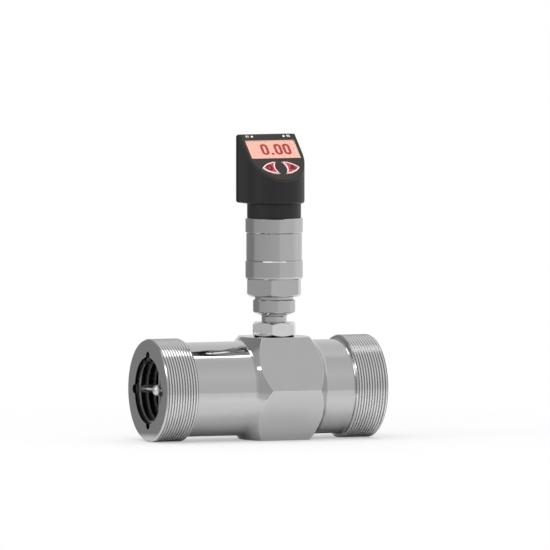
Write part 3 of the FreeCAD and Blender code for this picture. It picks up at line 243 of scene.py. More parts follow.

# %% [markdown]
# The thread's roots are painted a darker grey than its crests, as painted shade down in the
# grooves, while the crests keep the bright tone. The distance from the pipe's axis tells root
# from crest.

# %% Darken the roots of the thread
DARK_BELOW, BRIGHT_ABOVE = THREAD_ROOT + 0.05 * MM, THREAD_CREST - 0.1 * MM
tree = THREAD_STEEL.node_tree
shader = next(n for n in tree.nodes if n.type == "BSDF_PRINCIPLED")
far = next(n for n in tree.nodes if n.type == "VECT_MATH" and n.operation == "LENGTH")
# Painted shade: nearer the axis than the crests, the thread is painted darker, as shade in
# its roots.
root_shade_mask = add_node(tree, "ShaderNodeMapRange",
                {"Value": far.outputs["Value"], "From Min": DARK_BELOW,
                 "From Max": BRIGHT_ABOVE})
bright = next(n for n in tree.nodes if n.type == "MIX" and n.data_type == "RGBA")
shaded_root_tone = add_node(tree, "ShaderNodeMix",
                {0: root_shade_mask.outputs[0], 6: linear("#c4c4c4"), 7: bright.outputs[2]},
                data_type="RGBA")
tree.links.new(shaded_root_tone.outputs[2], shader.inputs["Base Color"])
print("thread dark below r %.1f mm, bright above %.1f mm"
      % (DARK_BELOW / MM, BRIGHT_ABOVE / MM))

# %% [markdown]
# ## Milled and drawn steel
# The hexagons are bar stock, drawn smooth and milled on their flats. They have no rings, only
# a soft clouding where the surface took the light a little differently, and hair-fine
# scratches from handling. A stretched noise makes the scratches; a broad one the clouds.

# %% Milled steel, plated metal and rolled strip
def worked_metal(name, light, dark, rough, grain=(40.0, 40.0, 400.0)):
    """A smooth metal with soft clouds and a fine drawn grain along one direction."""
    material, tree, shader = new_material(name)
    place = add_node(tree, "ShaderNodeTexCoord", {})
    drawn = add_node(tree, "ShaderNodeMapping",
                     {"Vector": place.outputs["Object"], "Scale": grain})
    hairs = noise(tree, drawn.outputs[0], 6.0, 3.0)
    cloud = noise(tree, place.outputs["Object"], 90.0, 3.0)
    tree.links.new(mix_tones(tree, cloud, dark, light), shader.inputs["Base Color"])
    spread_gloss(tree, shader, hairs, rough - 0.03, rough + 0.04)
    raise_relief(tree, shader, hairs, 0.03, 0.02)
    shader.inputs["Metallic"].default_value = 1.0
    return material


HEX_STEEL = worked_metal("milled_stainless_flats", "#cbcbcb", "#c7c7c7", 0.14)
NUT_STEEL = worked_metal("drawn_stainless_nut", "#f3f3f3", "#ececec", 0.1)
VANE_STEEL = worked_metal("blasted_stainless_sheet", "#f4f4f4", "#ececec", 0.38,
                          (300.0, 40.0, 40.0))
TURBINE_STEEL = worked_metal("cast_magnetic_steel", "#b9b9b7", "#a4a4a2", 0.3)
SPRING_STEEL = worked_metal("blued_spring_steel", "#66666a", "#545458", 0.28)
SHAFT_STEEL = worked_metal("ground_hardened_steel", "#cbcbcd", "#bcbcbe", 0.12)
BRONZE = worked_metal("sintered_bronze", "#b98a4e", "#94683a", 0.42, (200.0, 200.0, 200.0))
COPPER = worked_metal("enamelled_copper_wire", "#c9703c", "#a9552b", 0.3,
                      (20.0, 20.0, 900.0))
SCREW_STEEL = worked_metal("zinc_plated_steel", "#b8babd", "#9fa2a6", 0.26)
PLATED_BRASS = worked_metal("nickel_plated_brass", "#cfcbc2", "#bfbab0", 0.2)
GOLD = worked_metal("hard_gold_plate", "#e2bd62", "#cda64b", 0.18)
# Painted shade: the bore is stainless like the rest; this dark steel stands for its unlit
# inside.
BORE_SHADE_STEEL = worked_metal("bore_steel_painted_shade", "#303030", "#282828", 0.3)
print("worked metals: hexagon, nut, vane, turbine, spring, shaft and six more")

# %% [markdown]
# ## Moulded plastics and rubber
# The head is black ABS out of a mould with a fine spark-eroded grain, which gives it a soft
# sheen and no sharp reflections. Grain of that sort is about a quarter of a millimetre wide.
# The keys are silicone and the seals nitrile rubber, with a coarser and fainter grain.

# %% Plastics
def moulded(name, light, dark, rough, grain_mm=0.25, relief=0.25, **extra):
    """A moulded plastic or rubber with a fine even grain and faint colour drift."""
    material, tree, shader = new_material(name)
    place = add_node(tree, "ShaderNodeTexCoord", {})
    grain = noise(tree, place.outputs["Object"], 1.0 / (grain_mm * MM), 2.0, Roughness=0.6)
    drift = noise(tree, place.outputs["Object"], 70.0, 2.0)
    tree.links.new(mix_tones(tree, drift, dark, light), shader.inputs["Base Color"])
    spread_gloss(tree, shader, grain, rough - 0.05, rough + 0.05)
    raise_relief(tree, shader, grain, relief, 0.03)
    for socket, value in extra.items():
        shader.inputs[socket.replace("_", " ")].default_value = value
    return material


BLACK_ABS = moulded("moulded_black_abs", "#1c1c1c", "#191919", 0.45, IOR=1.45)
FILM = moulded("printed_polyester_film", "#312925", "#2c2521", 0.45, 0.4, 0.08, IOR=1.5,
               Specular_IOR_Level=0.25)
BLACK_PLASTIC = moulded("moulded_black_nylon", "#242426", "#1d1d1f", 0.42, IOR=1.53)
RUBBER = moulded("moulded_nitrile_rubber", "#1d1d1d", "#181818", 0.7, 0.5, 0.2, IOR=1.5)
KEY_RED = moulded("moulded_red_silicone", "#bf3044", "#b42a3a", 0.42, 0.5, 0.1, IOR=1.43)
KEY_PRINT = moulded("printed_pale_pink_ink", "#fff0f0", "#fde4e5", 0.5, 0.4, 0.1, IOR=1.5)
KEY_DARK = moulded("printed_dark_red_ink", "#54101a", "#480c15", 0.5, 0.4, 0.1, IOR=1.5,
                   Specular_IOR_Level=0.2)
WHITE_PRINT = moulded("printed_white_ink", "#fcfcfc", "#f6f6f6", 0.5, 0.4, 0.1, IOR=1.5)
BOARD = moulded("solder_masked_glass_epoxy", "#1f6b3c", "#185730", 0.3, 0.8, 0.2, IOR=1.55)
print("plastics:", BLACK_ABS.name, FILM.name, RUBBER.name)

# %% [markdown]
# ## Clear plastic and the lit display
# The window is a thin sheet of clear acrylic over a display with a warm backlight. The sheet
# is coated against reflections, so it only mirrors a tenth of what bare acrylic would. The
# glow belongs to the display, not to the window: a slightly paler rim shows where the light
# guide ends. The digits are dark red, and glow a little themselves, as a transmissive segment
# does. The two status lamps are off, so their light pipes are plain white plastic.

# %% Clear and lit materials
def clear_plastic(name, tint, mirroring):
    """Clear acrylic, with only a trace of unevenness in its polish."""
    material, tree, shader = new_material(name)
    place = add_node(tree, "ShaderNodeTexCoord", {})
    haze = noise(tree, place.outputs["Object"], 300.0, 2.0)
    spread_gloss(tree, shader, haze, 0.0, 0.01, 0.0)
    shader.inputs["Base Color"].default_value = linear(tint)
    shader.inputs["Transmission Weight"].default_value = 1.0
    shader.inputs["IOR"].default_value = 1.49
    shader.inputs["Specular Tint"].default_value = (mirroring, mirroring, mirroring, 1.0)
    return material


def lit_panel(name, light, dark):
    """A backlit surface with a soft, slightly uneven glow."""
    material, tree, shader = new_material(name)
    place = add_node(tree, "ShaderNodeTexCoord", {})
    glow = noise(tree, place.outputs["Object"], 60.0, 1.0)
    tree.links.new(mix_tones(tree, glow, dark, light), shader.inputs["Emission Color"])
    shader.inputs["Base Color"].default_value = (0.02, 0.02, 0.02, 1.0)
    shader.inputs["Roughness"].default_value = 0.6
    shader.inputs["Specular IOR Level"].default_value = 0.0
    shader.inputs["Emission Strength"].default_value = 1.0
    return material


CLEAR = clear_plastic("coated_clear_acrylic", "#fdfdfd", 0.1)
LIGHT_PIPE = moulded("opal_white_light_pipe", "#fcfcfc", "#f6f6f6", 0.35, 0.5, 0.05,
                     IOR=1.49)
BACKLIGHT = lit_panel("warm_backlight", "#f7b6a2", "#f4ae9a")
BACKLIGHT_RIM = lit_panel("backlight_rim", "#f6c8ac", "#f2c0a4")
DIGIT_RED = lit_panel("lit_red_segment", "#b2201a", "#a81c18")
print("clear and lit:", CLEAR.name, BACKLIGHT.name, DIGIT_RED.name)

# %% [markdown]
# ## Helpers for the pieces
# Operators act on whatever is selected, so the first helpers see to the selection before an
# operator runs.

# %% Selection helpers
def only(piece):
    """Selects this object and nothing else."""
    bpy.ops.object.select_all(action="DESELECT")
    piece.select_set(True)
    bpy.context.view_layer.objects.active = piece


def in_edit(piece, select_mode="FACE"):
    """Goes into edit mode on one object with nothing selected."""
    only(piece)
    bpy.ops.object.mode_set(mode="EDIT")
    bpy.ops.mesh.select_mode(type=select_mode)
    bpy.ops.mesh.select_all(action="DESELECT")


def select_faces(piece, test):
    """Selects the faces whose centre and normal pass a test, in edit mode."""
    mesh = bmesh.from_edit_mesh(piece.data)
    count = 0
    for face in mesh.faces:
        hit = test(face.calc_center_median(), face.normal)
        face.select_set(hit)
        count += hit
    mesh.select_flush_mode()
    bmesh.update_edit_mesh(piece.data)
    return count


def add_shape(operator, name, **settings):
    """Runs one of Blender's add operators, and names the object that it makes."""
    bpy.ops.object.select_all(action="DESELECT")
    operator(**settings)
    shape = bpy.context.object
    shape.name = name
    return shape


def apply_modifier(piece, name, kind, **settings):
    """Adds a modifier, sets it and applies it."""
    modifier = piece.modifiers.new(name, kind)
    for setting, value in settings.items():
        setattr(modifier, setting, value)
    only(piece)
    bpy.ops.object.modifier_apply(modifier=modifier.name)


print("selection helpers ready")

# %% [markdown]
# A solid's imported mesh is loose triangles, so the copy has its doubles merged and its flat
# areas dissolved before anything can be bevelled. The last helpers give a finished piece its
# materials and its body, and let it stand for its solid.

# %% Copy and finishing helpers
def copy_solid(node, name):
    """A copy of a solid's mesh with shared corners, and its flat areas as single faces."""
    piece = bpy.data.objects.new(name, frame["nodes"][node].data.copy())
    bpy.context.scene.collection.objects.link(piece)
    piece.data.materials.clear()
    only(piece)
    if piece.data.has_custom_normals:
        bpy.ops.mesh.customdata_custom_splitnormals_clear()
    bpy.ops.object.mode_set(mode="EDIT")
    bpy.ops.mesh.select_all(action="SELECT")
    bpy.ops.mesh.remove_doubles(threshold=1e-6)
    bpy.ops.mesh.dissolve_limited(angle_limit=math.radians(0.6))
    bpy.ops.mesh.select_all(action="DESELECT")
    bpy.ops.object.mode_set(mode="OBJECT")
    return piece


def break_edges(piece, width_mm, angle, segments=2):
    """Takes down every edge sharper than the angle, as a deburring tool does."""
    apply_modifier(piece, "edge_break", "BEVEL", width=width_mm * MM, segments=segments,
                   limit_method="ANGLE", angle_limit=math.radians(angle),
                   miter_outer="MITER_ARC", use_clamp_overlap=True)


def smooth(piece, angle=30.0):
    """Smooth shading over gentle angles only, led by the large faces, which stay flat."""
    only(piece)
    bpy.ops.object.shade_smooth_by_angle(angle=math.radians(angle))
    apply_modifier(piece, "weights", "WEIGHTED_NORMAL", weight=100, keep_sharp=True)


def settle(piece):
    """Applies an object's place, turn and size, so that they are all in its mesh."""
    only(piece)
    bpy.ops.object.transform_apply(location=True, rotation=True, scale=True)


def hand_over(piece, body, slot, *materials):
    """Gives a finished piece its materials and its body. The slot argument is not used."""
    for material in materials:
        piece.data.materials.append(material)
    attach(piece, body)


def dress(node, slot, material, width_mm, angle=32.0, segments=2):
    """A solid's copy with its edges broken, which stands for it."""
    piece = copy_solid(node, node + "_finished")
    break_edges(piece, width_mm, angle, segments)
    smooth(piece)
    hand_over(piece, frame["nodes"][node]["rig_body"], slot, material)
    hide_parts(node)
    return piece


print("copy and finishing helpers ready")

# %% [markdown]
# ## The pipe body
# The body is one bar of stainless steel: hexagonal in the middle, turned down to a tube, with
# a raised ring at each end that carries a pipe thread. The solid has plain rings at the
# thread's outer size. On a copy, the rings go down to the thread's root, and the thread
# itself is wound on as a separate rib. The hexagon's flats get their own milled finish.

# %% Turn the rings down to the thread root
TOUCH = 0.1 * MM


def from_pipe(point):
    """How far a point is from the pipe's axis."""
    return math.hypot(point.y, point.z - AXIS_Z)


def on_end_ring(point):
    """Whether a point lies along one of the two end rings."""
    end = min(abs(point.x - INLET_X), abs(point.x - OUTLET_X))
    return end < RING_LENGTH + TOUCH


def turn_down(piece, centre, axis, root, on_ring):
    """Brings what stands out further than the root down to it, along a ring."""
    moved = 0
    for vertex in piece.data.vertices:
        out = vertex.co - centre
        out[axis] = 0.0
        if on_ring(vertex.co) and out.length > root:
            vertex.co += out * (root / out.length - 1.0)
            moved += 1
    return moved


pipe_body = copy_solid("meter_body", "pipe_body")
turned = turn_down(pipe_body, Vector((0.0, 0.0, AXIS_Z)), 0, THREAD_ROOT, on_end_ring)
print("ring corners moved:", turned, "faces:", len(pipe_body.data.polygons))

# %% [markdown]
# A lathe tool has a rounded tip, so it leaves a small hollow radius wherever the tube meets a
# shoulder. Those radii show as bright arcs. They are the bevel of the inward corners at the
# tube's own radius, picked by the angle between their two faces, which is below nought where
# a corner points inwards.

# %% Round the inward corners along the tube
FILLET, INWARD = 1.1 * MM, math.radians(-23.0)
in_edit(pipe_body, "EDGE")
mesh = bmesh.from_edit_mesh(pipe_body.data)
corners = 0
for edge in mesh.edges:
    near_tube = all(abs(from_pipe(v.co) - TUBE) < TOUCH for v in edge.verts)
    if near_tube and len(edge.link_faces) == 2 and edge.calc_face_angle_signed() < INWARD:
        edge.select_set(True)
        corners += 1
bmesh.update_edit_mesh(pipe_body.data)
bpy.ops.mesh.bevel(offset=FILLET, segments=5, affect="EDGES")
bpy.ops.object.mode_set(mode="OBJECT")
print("inward corner edges rounded:", corners)

# %% [markdown]
# The body takes four finishes, told apart by where a face lies: bright steel along the tube,
# milled flats on the hexagon, the thread's own steel on the two rings, and in the bore a dark
# steel that is painted shade for its unlit inside.

# %% Break the edges and mark the finishes
HEXAGON_HALF, BORE_REACH = 15.2 * MM, 23.0 * MM
break_edges(pipe_body, 0.18, 40.0)
smooth(pipe_body)
hand_over(pipe_body, "meter", "body_steel", PIPE_STEEL, HEX_STEEL, THREAD_STEEL,
          BORE_SHADE_STEEL)
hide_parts("meter_body")
for face in pipe_body.data.polygons:
    far = from_pipe(face.center)
    if far > TUBE + 0.2 * MM and abs(face.center.x - STEM_X) < HEXAGON_HALF:
        face.material_index = 1
    elif far > THREAD_ROOT - 0.15 * MM and abs(face.normal.x) < 0.5:
        face.material_index = 2
    # Faces inside the bore take the dark steel, as painted shade.
    elif far < BORE_REACH and abs(face.normal.x) < 0.9:
        face.material_index = 3
print("milled faces:", sum(f.material_index == 1 for f in pipe_body.data.polygons))

# %% [markdown]
# ## The screw threads
# A thread is a rib of V section wound round a cylinder. The screw modifier does just that to
# a small outline. The outline here is a closed trapezoid, less than half as wide at its
# crest as at its foot, so each turn is a solid rib whose foot is hidden in the ring. The
# winding runs past both ends. A blank with chamfered ends, like the turned ring before the
# thread was cut, trims it to length. The blank is turned by a small angle, so that none of
# its edges lies along an edge of the rib.

# %% Wind a thread
def wind_thread(name, length, pitch, crest, root, chamfer, steps=120):
    """A rib wound along +X from 0 to the length, round the X axis."""
    rib = add_shape(bpy.ops.mesh.primitive_circle_add, name, vertices=4, radius=pitch / 2,
                    fill_type="NOTHING")
    foot = root - 0.1 * (crest - root)
    outline = ((-0.46, foot), (-0.2, crest), (0.2, crest), (0.46, foot))
    for vertex, (along, out) in zip(rib.data.vertices, outline):
        vertex.co = ((along - 1.0) * pitch, 0.0, out)
    apply_modifier(rib, "wind", "SCREW", axis="X", angle=2 * math.pi, screw_offset=pitch,
                   iterations=math.ceil(length / pitch) + 2, steps=steps,
                   render_steps=steps)
    in_edit(rib, "VERT")
    bpy.ops.mesh.select_all(action="SELECT")
    bpy.ops.mesh.fill_holes(sides=4)
    bpy.ops.mesh.normals_make_consistent(inside=False)
    bpy.ops.object.mode_set(mode="OBJECT")
    spare, off_step = 0.4 * MM, 0.011
    blank = add_shape(bpy.ops.mesh.primitive_cylinder_add, "blank", vertices=144,
                      radius=crest + spare, depth=length, location=(length / 2, 0, 0),
                      rotation=(0, math.pi / 2, 0))
    settle(blank)
    blank.data.transform(Matrix.Rotation(off_step, 4, "X"))
    in_edit(blank)
    select_faces(blank, lambda centre, normal: abs(normal.x) > 0.9)
    bpy.ops.mesh.region_to_loop()
    bpy.ops.mesh.bevel(offset=chamfer + spare, segments=1, affect="EDGES")
    bpy.ops.object.mode_set(mode="OBJECT")
    apply_modifier(rib, "trim", "BOOLEAN", operation="INTERSECT", object=blank)
    bpy.data.objects.remove(blank)
    return rib


for side, start in (("inlet", INLET_X), ("outlet", OUTLET_X - RING_LENGTH)):
    rib = wind_thread(side + "_thread", RING_LENGTH, THREAD_PITCH, THREAD_CREST,
                      THREAD_ROOT, RING_CHAMFER)
    rib.data.transform(Matrix.Translation((start, 0.0, AXIS_Z)))
    smooth(rib, 25.0)
    hand_over(rib, "meter", "body_steel", THREAD_STEEL)
    print(rib.name, "faces:", len(rib.data.polygons))

# %% [markdown]
# ## Fittings on the stem
# The lock nut, the pickup's stem, the union ring, the hexagon adapter and the three parts of
# the housing keep the shapes of their solids. What a solid lacks is the edge break: a
# machinist takes every corner down by a few tenths of a millimetre with a flat 45 degree
# tool, and that narrow band is what catches the light. So each is copied, and its square
# edges get a bevel of one step. Edges that have their chamfer already are left alone: they
# turn by 45 degrees only, less than the limit.

# %% Dress the stem
CHAMFERS_STAY = 55.0
for node, slot, material, width in (
        ("lock_nut", "fitting_steel", NUT_STEEL, 0.25),
        ("pickup_stem", "fitting_steel", HOUSING_STEEL, 0.3),
        ("union_ring", "fitting_steel", HOUSING_STEEL, 0.3),
        ("hex_adapter", "fitting_steel", HEX_STEEL, 0.25),
        ("housing_lower_ring", "housing_steel", HOUSING_STEEL, 0.4),
        ("housing_sleeve", "housing_steel", HOUSING_STEEL, 0.3),
        ("housing_top_ring", "housing_steel", HOUSING_STEEL, 0.4)):
    piece = dress(node, slot, material, width, angle=CHAMFERS_STAY, segments=1)
    print(piece.name, "faces:", len(piece.data.polygons))

# %% [markdown]
# ## The vanes in the bore
# The straighteners are blasted after welding, which rounds the front edges of their vanes and
# hoops and leaves them an even satin. They are what shows of the inside, against a bore whose
# steel is painted dark as shade for the unlit inside.

# %% Dress the vanes
for side in ("inlet", "outlet"):
    piece = dress(side + "_straightener", "vane_steel", VANE_STEEL, 0.35, segments=3)
    print(piece.name, "faces:", len(piece.data.polygons))

# %% [markdown]
# ## The head
# The head is a black moulding closed by a back cover, with a printed film over its sloping
# front. Moulded edges have a radius of about half a millimetre, more than a machined edge
# break. The film is thin, so its edge is only just rounded.

# %% Dress the head
for node, slot, material, width in (
        ("swivel_neck", "black_plastic", BLACK_ABS, 0.25),
        ("head_shell", "black_plastic", BLACK_ABS, 0.45),
        ("head_back_cover", "black_plastic", BLACK_ABS, 0.4),
        ("faceplate", "faceplate_film", FILM, 0.08),
        ("connector_nut", "connector_metal", PLATED_BRASS, 0.15)):
    piece = dress(node, slot, material, width, angle=35.0)
    print(piece.name, "faces:", len(piece.data.polygons))

# %% [markdown]
# ## The connector's thread
# The round connector at the back takes the usual 12 mm cable nut with a pitch of 1 mm. Its
# barrel goes down to the thread's root, as the pipe's rings did. The same winding, turned to
# point backwards, makes the rib.

# %% Cut the connector's thread
BARREL, BARREL_ROOT, BARREL_PITCH = 6.0 * MM, 5.45 * MM, 1.0 * MM
BARREL_LENGTH, THREADED_LENGTH, BARREL_CHAMFER = 9.5 * MM, 7.6 * MM, 0.4 * MM
MOUTH_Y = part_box("connector_shell")[1].y
PLUG_Z = middle_of("connector_shell").z


def on_barrel(point):
    """Whether a point lies on the barrel, and not on the flange behind it."""
    radius = math.hypot(point.x - STEM_X, point.z - PLUG_Z)
    return point.y > MOUTH_Y - BARREL_LENGTH and radius < BARREL + TOUCH


shell = copy_solid("connector_shell", "connector_shell_finished")
turned = turn_down(shell, Vector((STEM_X, 0.0, PLUG_Z)), 1, BARREL_ROOT, on_barrel)
break_edges(shell, 0.12, 35.0)
smooth(shell)
hand_over(shell, "display_head", "connector_metal", PLATED_BRASS)
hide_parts("connector_shell")
rib = wind_thread("connector_thread", THREADED_LENGTH, BARREL_PITCH, BARREL, BARREL_ROOT,
                  BARREL_CHAMFER, 96)
rib.data.transform(Matrix.Translation((STEM_X, MOUTH_Y - THREADED_LENGTH, PLUG_Z))
                   @ Matrix.Rotation(math.pi / 2, 4, "Z"))
smooth(rib, 25.0)
hand_over(rib, "display_head", "connector_metal", PLATED_BRASS)
print("barrel corners moved:", turned, "thread faces:", len(rib.data.polygons))

# %% [markdown]
# ## The cover's screws
# Each screw head has a hexagon socket. A six-sided punch, put where the middle of each head
# is, is taken away from a copy of the screws. Half of its length is outside the head.

# %% Sink the sockets
SOCKET_RADIUS, SOCKET_DEPTH = 1.25 * MM, 1.2 * MM
screws = copy_solid("back_cover_screws", "back_cover_screws_finished")
HEADS_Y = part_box("back_cover_screws")[1].y
middle = middle_of("back_cover_screws")
for side, level in ((-1, -1), (-1, 1), (1, -1), (1, 1)):
    head = [v.co for v in frame["nodes"]["back_cover_screws"].data.vertices
            if (v.co.x - middle.x) * side > 0 and (v.co.z - middle.z) * level > 0]
    across, up = (min(c[i] for c in head) / 2 + max(c[i] for c in head) / 2 for i in (0, 2))
    punch = add_shape(bpy.ops.mesh.primitive_cylinder_add, "punch", vertices=6,
                      radius=SOCKET_RADIUS, depth=2 * SOCKET_DEPTH,
                      location=(across, HEADS_Y, up), rotation=(math.pi / 2, 0, 0))
    apply_modifier(screws, "socket", "BOOLEAN", operation="DIFFERENCE", object=punch)
    bpy.data.objects.remove(punch)
smooth(screws)
hand_over(screws, frame["nodes"]["back_cover_screws"]["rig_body"], "screw_steel", SCREW_STEEL)
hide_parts("back_cover_screws")
print("screws with sockets, faces:", len(screws.data.polygons))

# %% [markdown]
# ## Finishes for the solids that stay
# The other solids have the right shape as they are, so each one only gets its finish. Most
# of them are inside and show through the bore or in a pulled-apart view.

# %% Give each remaining solid its finish
FINISHES = {
    "inlet_retaining_ring": SPRING_STEEL, "outlet_retaining_ring": SPRING_STEEL,
    "swivel_clip": SPRING_STEEL,
    "inlet_bearing_bush": BRONZE, "outlet_bearing_bush": BRONZE,
    "inlet_thrust_plate": SHAFT_STEEL, "outlet_thrust_plate": SHAFT_STEEL,
    "turbine_shaft": SHAFT_STEEL, "turbine": TURBINE_STEEL,
    "pickup_coil": COPPER, "pickup_pole": TURBINE_STEEL, "pickup_magnet": SHAFT_STEEL,
    "amplifier_board": BOARD, "display_board": BOARD,
    "swivel_seal": RUBBER, "back_cover_gasket": RUBBER, "connector_seal": RUBBER,
    "display_window": CLEAR, "display_module": BACKLIGHT,
    "left_switch": BLACK_PLASTIC, "right_switch": BLACK_PLASTIC,
    "left_status_lens": LIGHT_PIPE, "right_status_lens": LIGHT_PIPE,
    "connector_insert": BLACK_PLASTIC, "connector_pins": GOLD,
}
for node, material in FINISHES.items():
    solid = frame["nodes"][node]
    solid.data.materials.clear()
    solid.data.materials.append(material)
print("finished solids:", len(FINISHES))

# %% [markdown]
# ## The sloping panel's own axes
# Digits, numbers and key marks are drawn flat and then laid on the slope. A matrix does that:
# its columns are the panel's across, up and outward directions. The keys' joint gives the
# outward direction, because a key is pressed straight into the panel.

# %% Find the slope
press = next(j for j in frame["joints"] if j["name"] == "left_key_press")
OUTWARD = -Vector(press["axis"]).normalized()
ACROSS = Vector((1.0, 0.0, 0.0))
UPHILL = OUTWARD.cross(ACROSS)


def extent(node, direction):
    """How far a solid lies along a direction: its least and its most."""
    along = [direction.dot(v.co) for v in frame["nodes"][node].data.vertices]
    return min(along), max(along)


FILM_TOP = extent("faceplate", OUTWARD)[1]
MODULE_TOP = extent("display_module", OUTWARD)[1]
KEY_TOP = extent("left_button", OUTWARD)[1]
WINDOW_LOW, WINDOW_HIGH = extent("display_window", UPHILL)
WINDOW_MIDDLE = (WINDOW_LOW + WINDOW_HIGH) / 2
WINDOW_HEIGHT_MM = (WINDOW_HIGH - WINDOW_LOW) / MM


def on_slope(across_mm, up_mm, height):
    """The matrix that lays a flat drawing on the slope, from the window's middle."""
    turned = Matrix((ACROSS, UPHILL, OUTWARD)).transposed().to_4x4()
    spot = (ACROSS * (STEM_X + across_mm * MM) + UPHILL * (WINDOW_MIDDLE + up_mm * MM)
            + OUTWARD * height)
    return Matrix.Translation(spot) @ turned


def up_from_window(node):
    """How far up the slope a solid's middle is from the window's, in millimetres."""
    return (UPHILL.dot(middle_of(node)) - WINDOW_MIDDLE) / MM


print("slope", round(math.degrees(math.asin(OUTWARD.z)), 1), "degrees; window height",
      round(WINDOW_HEIGHT_MM, 2), "mm; film, module and keys at",
      [round(v / MM, 2) for v in (FILM_TOP, MODULE_TOP, KEY_TOP)])

# %% [markdown]
# ## The digits
# The display shows a plain 0.00 in rounded figures. A nought is a plane whose corners are
# rounded by a vertex bevel and whose rim is what an inset leaves once its middle is deleted.
# It is modelled once and copied, each copy with its own mesh, and the copies are joined with
# the decimal point. The helpers serve the rim and the keys' marks too.

# %% Helpers for flat drawings
def rounded_plate(name, width_mm, height_mm, corner_mm):
    """A flat plate with rounded corners, lying on the drawing plane."""
    plate = add_shape(bpy.ops.mesh.primitive_plane_add, name, size=1.0)
    plate.scale = (width_mm * MM, height_mm * MM, 1.0)
    settle(plate)
    in_edit(plate, "VERT")
    bpy.ops.mesh.select_all(action="SELECT")
    bpy.ops.mesh.bevel(offset=corner_mm * MM, segments=8, affect="VERTICES")
    bpy.ops.object.mode_set(mode="OBJECT")
    return plate


def hollow(plate, stroke_mm):
    """Leaves only a rim of this width."""
    in_edit(plate)
    bpy.ops.mesh.select_all(action="SELECT")
    bpy.ops.mesh.inset(thickness=stroke_mm * MM)
    bpy.ops.mesh.delete(type="FACE")
    bpy.ops.object.mode_set(mode="OBJECT")


def thicken(plate, thick_mm):
    """Turns a flat drawing into a thin solid with its faces outwards."""
    apply_modifier(plate, "thickness", "SOLIDIFY", thickness=thick_mm * MM, offset=1.0)
    in_edit(plate)
    bpy.ops.mesh.select_all(action="SELECT")
    bpy.ops.mesh.normals_make_consistent(inside=False)
    bpy.ops.object.mode_set(mode="OBJECT")


def join(pieces, name):
    """Joins several objects into one."""
    bpy.ops.object.select_all(action="DESELECT")
    for piece in pieces:
        piece.select_set(True)
    bpy.context.view_layer.objects.active = pieces[0]
    bpy.ops.object.join()
    pieces[0].name = name
    return pieces[0]


print("flat drawing helpers ready")

# %% Draw the digits
NOUGHT_WIDTH, NOUGHT_HEIGHT, NOUGHT_CORNER, NOUGHT_STROKE = 4.7, 8.8, 2.2, 1.6
POINT_WIDTH, POINT_CORNER, DIGIT_THICK = 1.7, 0.5, 0.05
NOUGHTS_ACROSS, NOUGHTS_UP = (-4.9, 3.6, 9.1), 0.55
POINT_ACROSS, POINT_UP = -0.65, -3.1
DIGIT_LEVEL = MODULE_TOP + 0.02 * MM
nought = rounded_plate("nought", NOUGHT_WIDTH, NOUGHT_HEIGHT, NOUGHT_CORNER)
hollow(nought, NOUGHT_STROKE)
thicken(nought, DIGIT_THICK)
noughts = []
for across in NOUGHTS_ACROSS:
    copy = bpy.data.objects.new("nought_copy", nought.data.copy())
    bpy.context.scene.collection.objects.link(copy)
    copy.data.transform(on_slope(across, NOUGHTS_UP, DIGIT_LEVEL))
    noughts.append(copy)
bpy.data.objects.remove(nought)
point = rounded_plate("point", POINT_WIDTH, POINT_WIDTH, POINT_CORNER)
thicken(point, DIGIT_THICK)
point.data.transform(on_slope(POINT_ACROSS, POINT_UP, DIGIT_LEVEL))
digits = join(noughts + [point], "display_digits")
hand_over(digits, "display_head", "display_lit", DIGIT_RED)
print("digits:", len(digits.data.polygons), "faces")

# %% [markdown]
# ## The paler rim of the display
# The backlight is a light guide, brightest along its edges, where the lamps are. A thin
# frame just above the display module, inside the window's opening, carries that paler tone.

# %% Lay the rim
RIM_WIDTH, RIM_INSIDE, RIM_CORNER, RIM_STROKE, RIM_THICK = 30.6, 0.3, 0.4, 0.75, 0.02
rim = rounded_plate("display_rim", RIM_WIDTH, WINDOW_HEIGHT_MM - RIM_INSIDE, RIM_CORNER)
hollow(rim, RIM_STROKE)
thicken(rim, RIM_THICK)
rim.data.transform(on_slope(0.0, 0.0, MODULE_TOP + 0.01 * MM))
hand_over(rim, "display_head", "display_lit", BACKLIGHT_RIM)
print("rim:", len(rim.data.polygons), "faces")

# %% [markdown]
# ## The keys
# Each key is a red silicone pad in a pale surround: a pale line follows the edge of its top,
# and its sides are as pale. A small dark mark sits in the middle, a ring on one key and an
# arrow head on the other. The top face is inset to get the band for the line. What is left
# inside the band stays red, and all the rest takes the pale print.

# %% Print the keys' borders
BORDER_MM = 0.65


def print_border(piece, width_mm):
    """Insets the top face, and gives all but what is left of it the second material."""
    in_edit(piece)
    top = KEY_TOP - 0.05 * MM
    count = select_faces(piece, lambda centre, normal: normal.dot(OUTWARD) > 0.99
                         and OUTWARD.dot(centre) > top)
    bpy.ops.mesh.inset(thickness=width_mm * MM)
    mesh = bmesh.from_edit_mesh(piece.data)
    inner = [f.index for f in mesh.faces if f.select]
    bpy.ops.object.mode_set(mode="OBJECT")
    for face in piece.data.polygons:
        face.material_index = int(face.index not in inner)
    return count


for side in ("left", "right"):
    key = copy_solid(side + "_button", side + "_key_pad")
    print(side, "top faces:", print_border(key, BORDER_MM))
    hand_over(key, side + "_key", "button_red", KEY_RED, KEY_PRINT)
    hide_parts(side + "_button")
    smooth(key, 25.0)

# %% [markdown]
# Both marks are outlines too: an oval, and an arrow head that is a circle of three corners.
# They stand a little outside the middle of their keys.

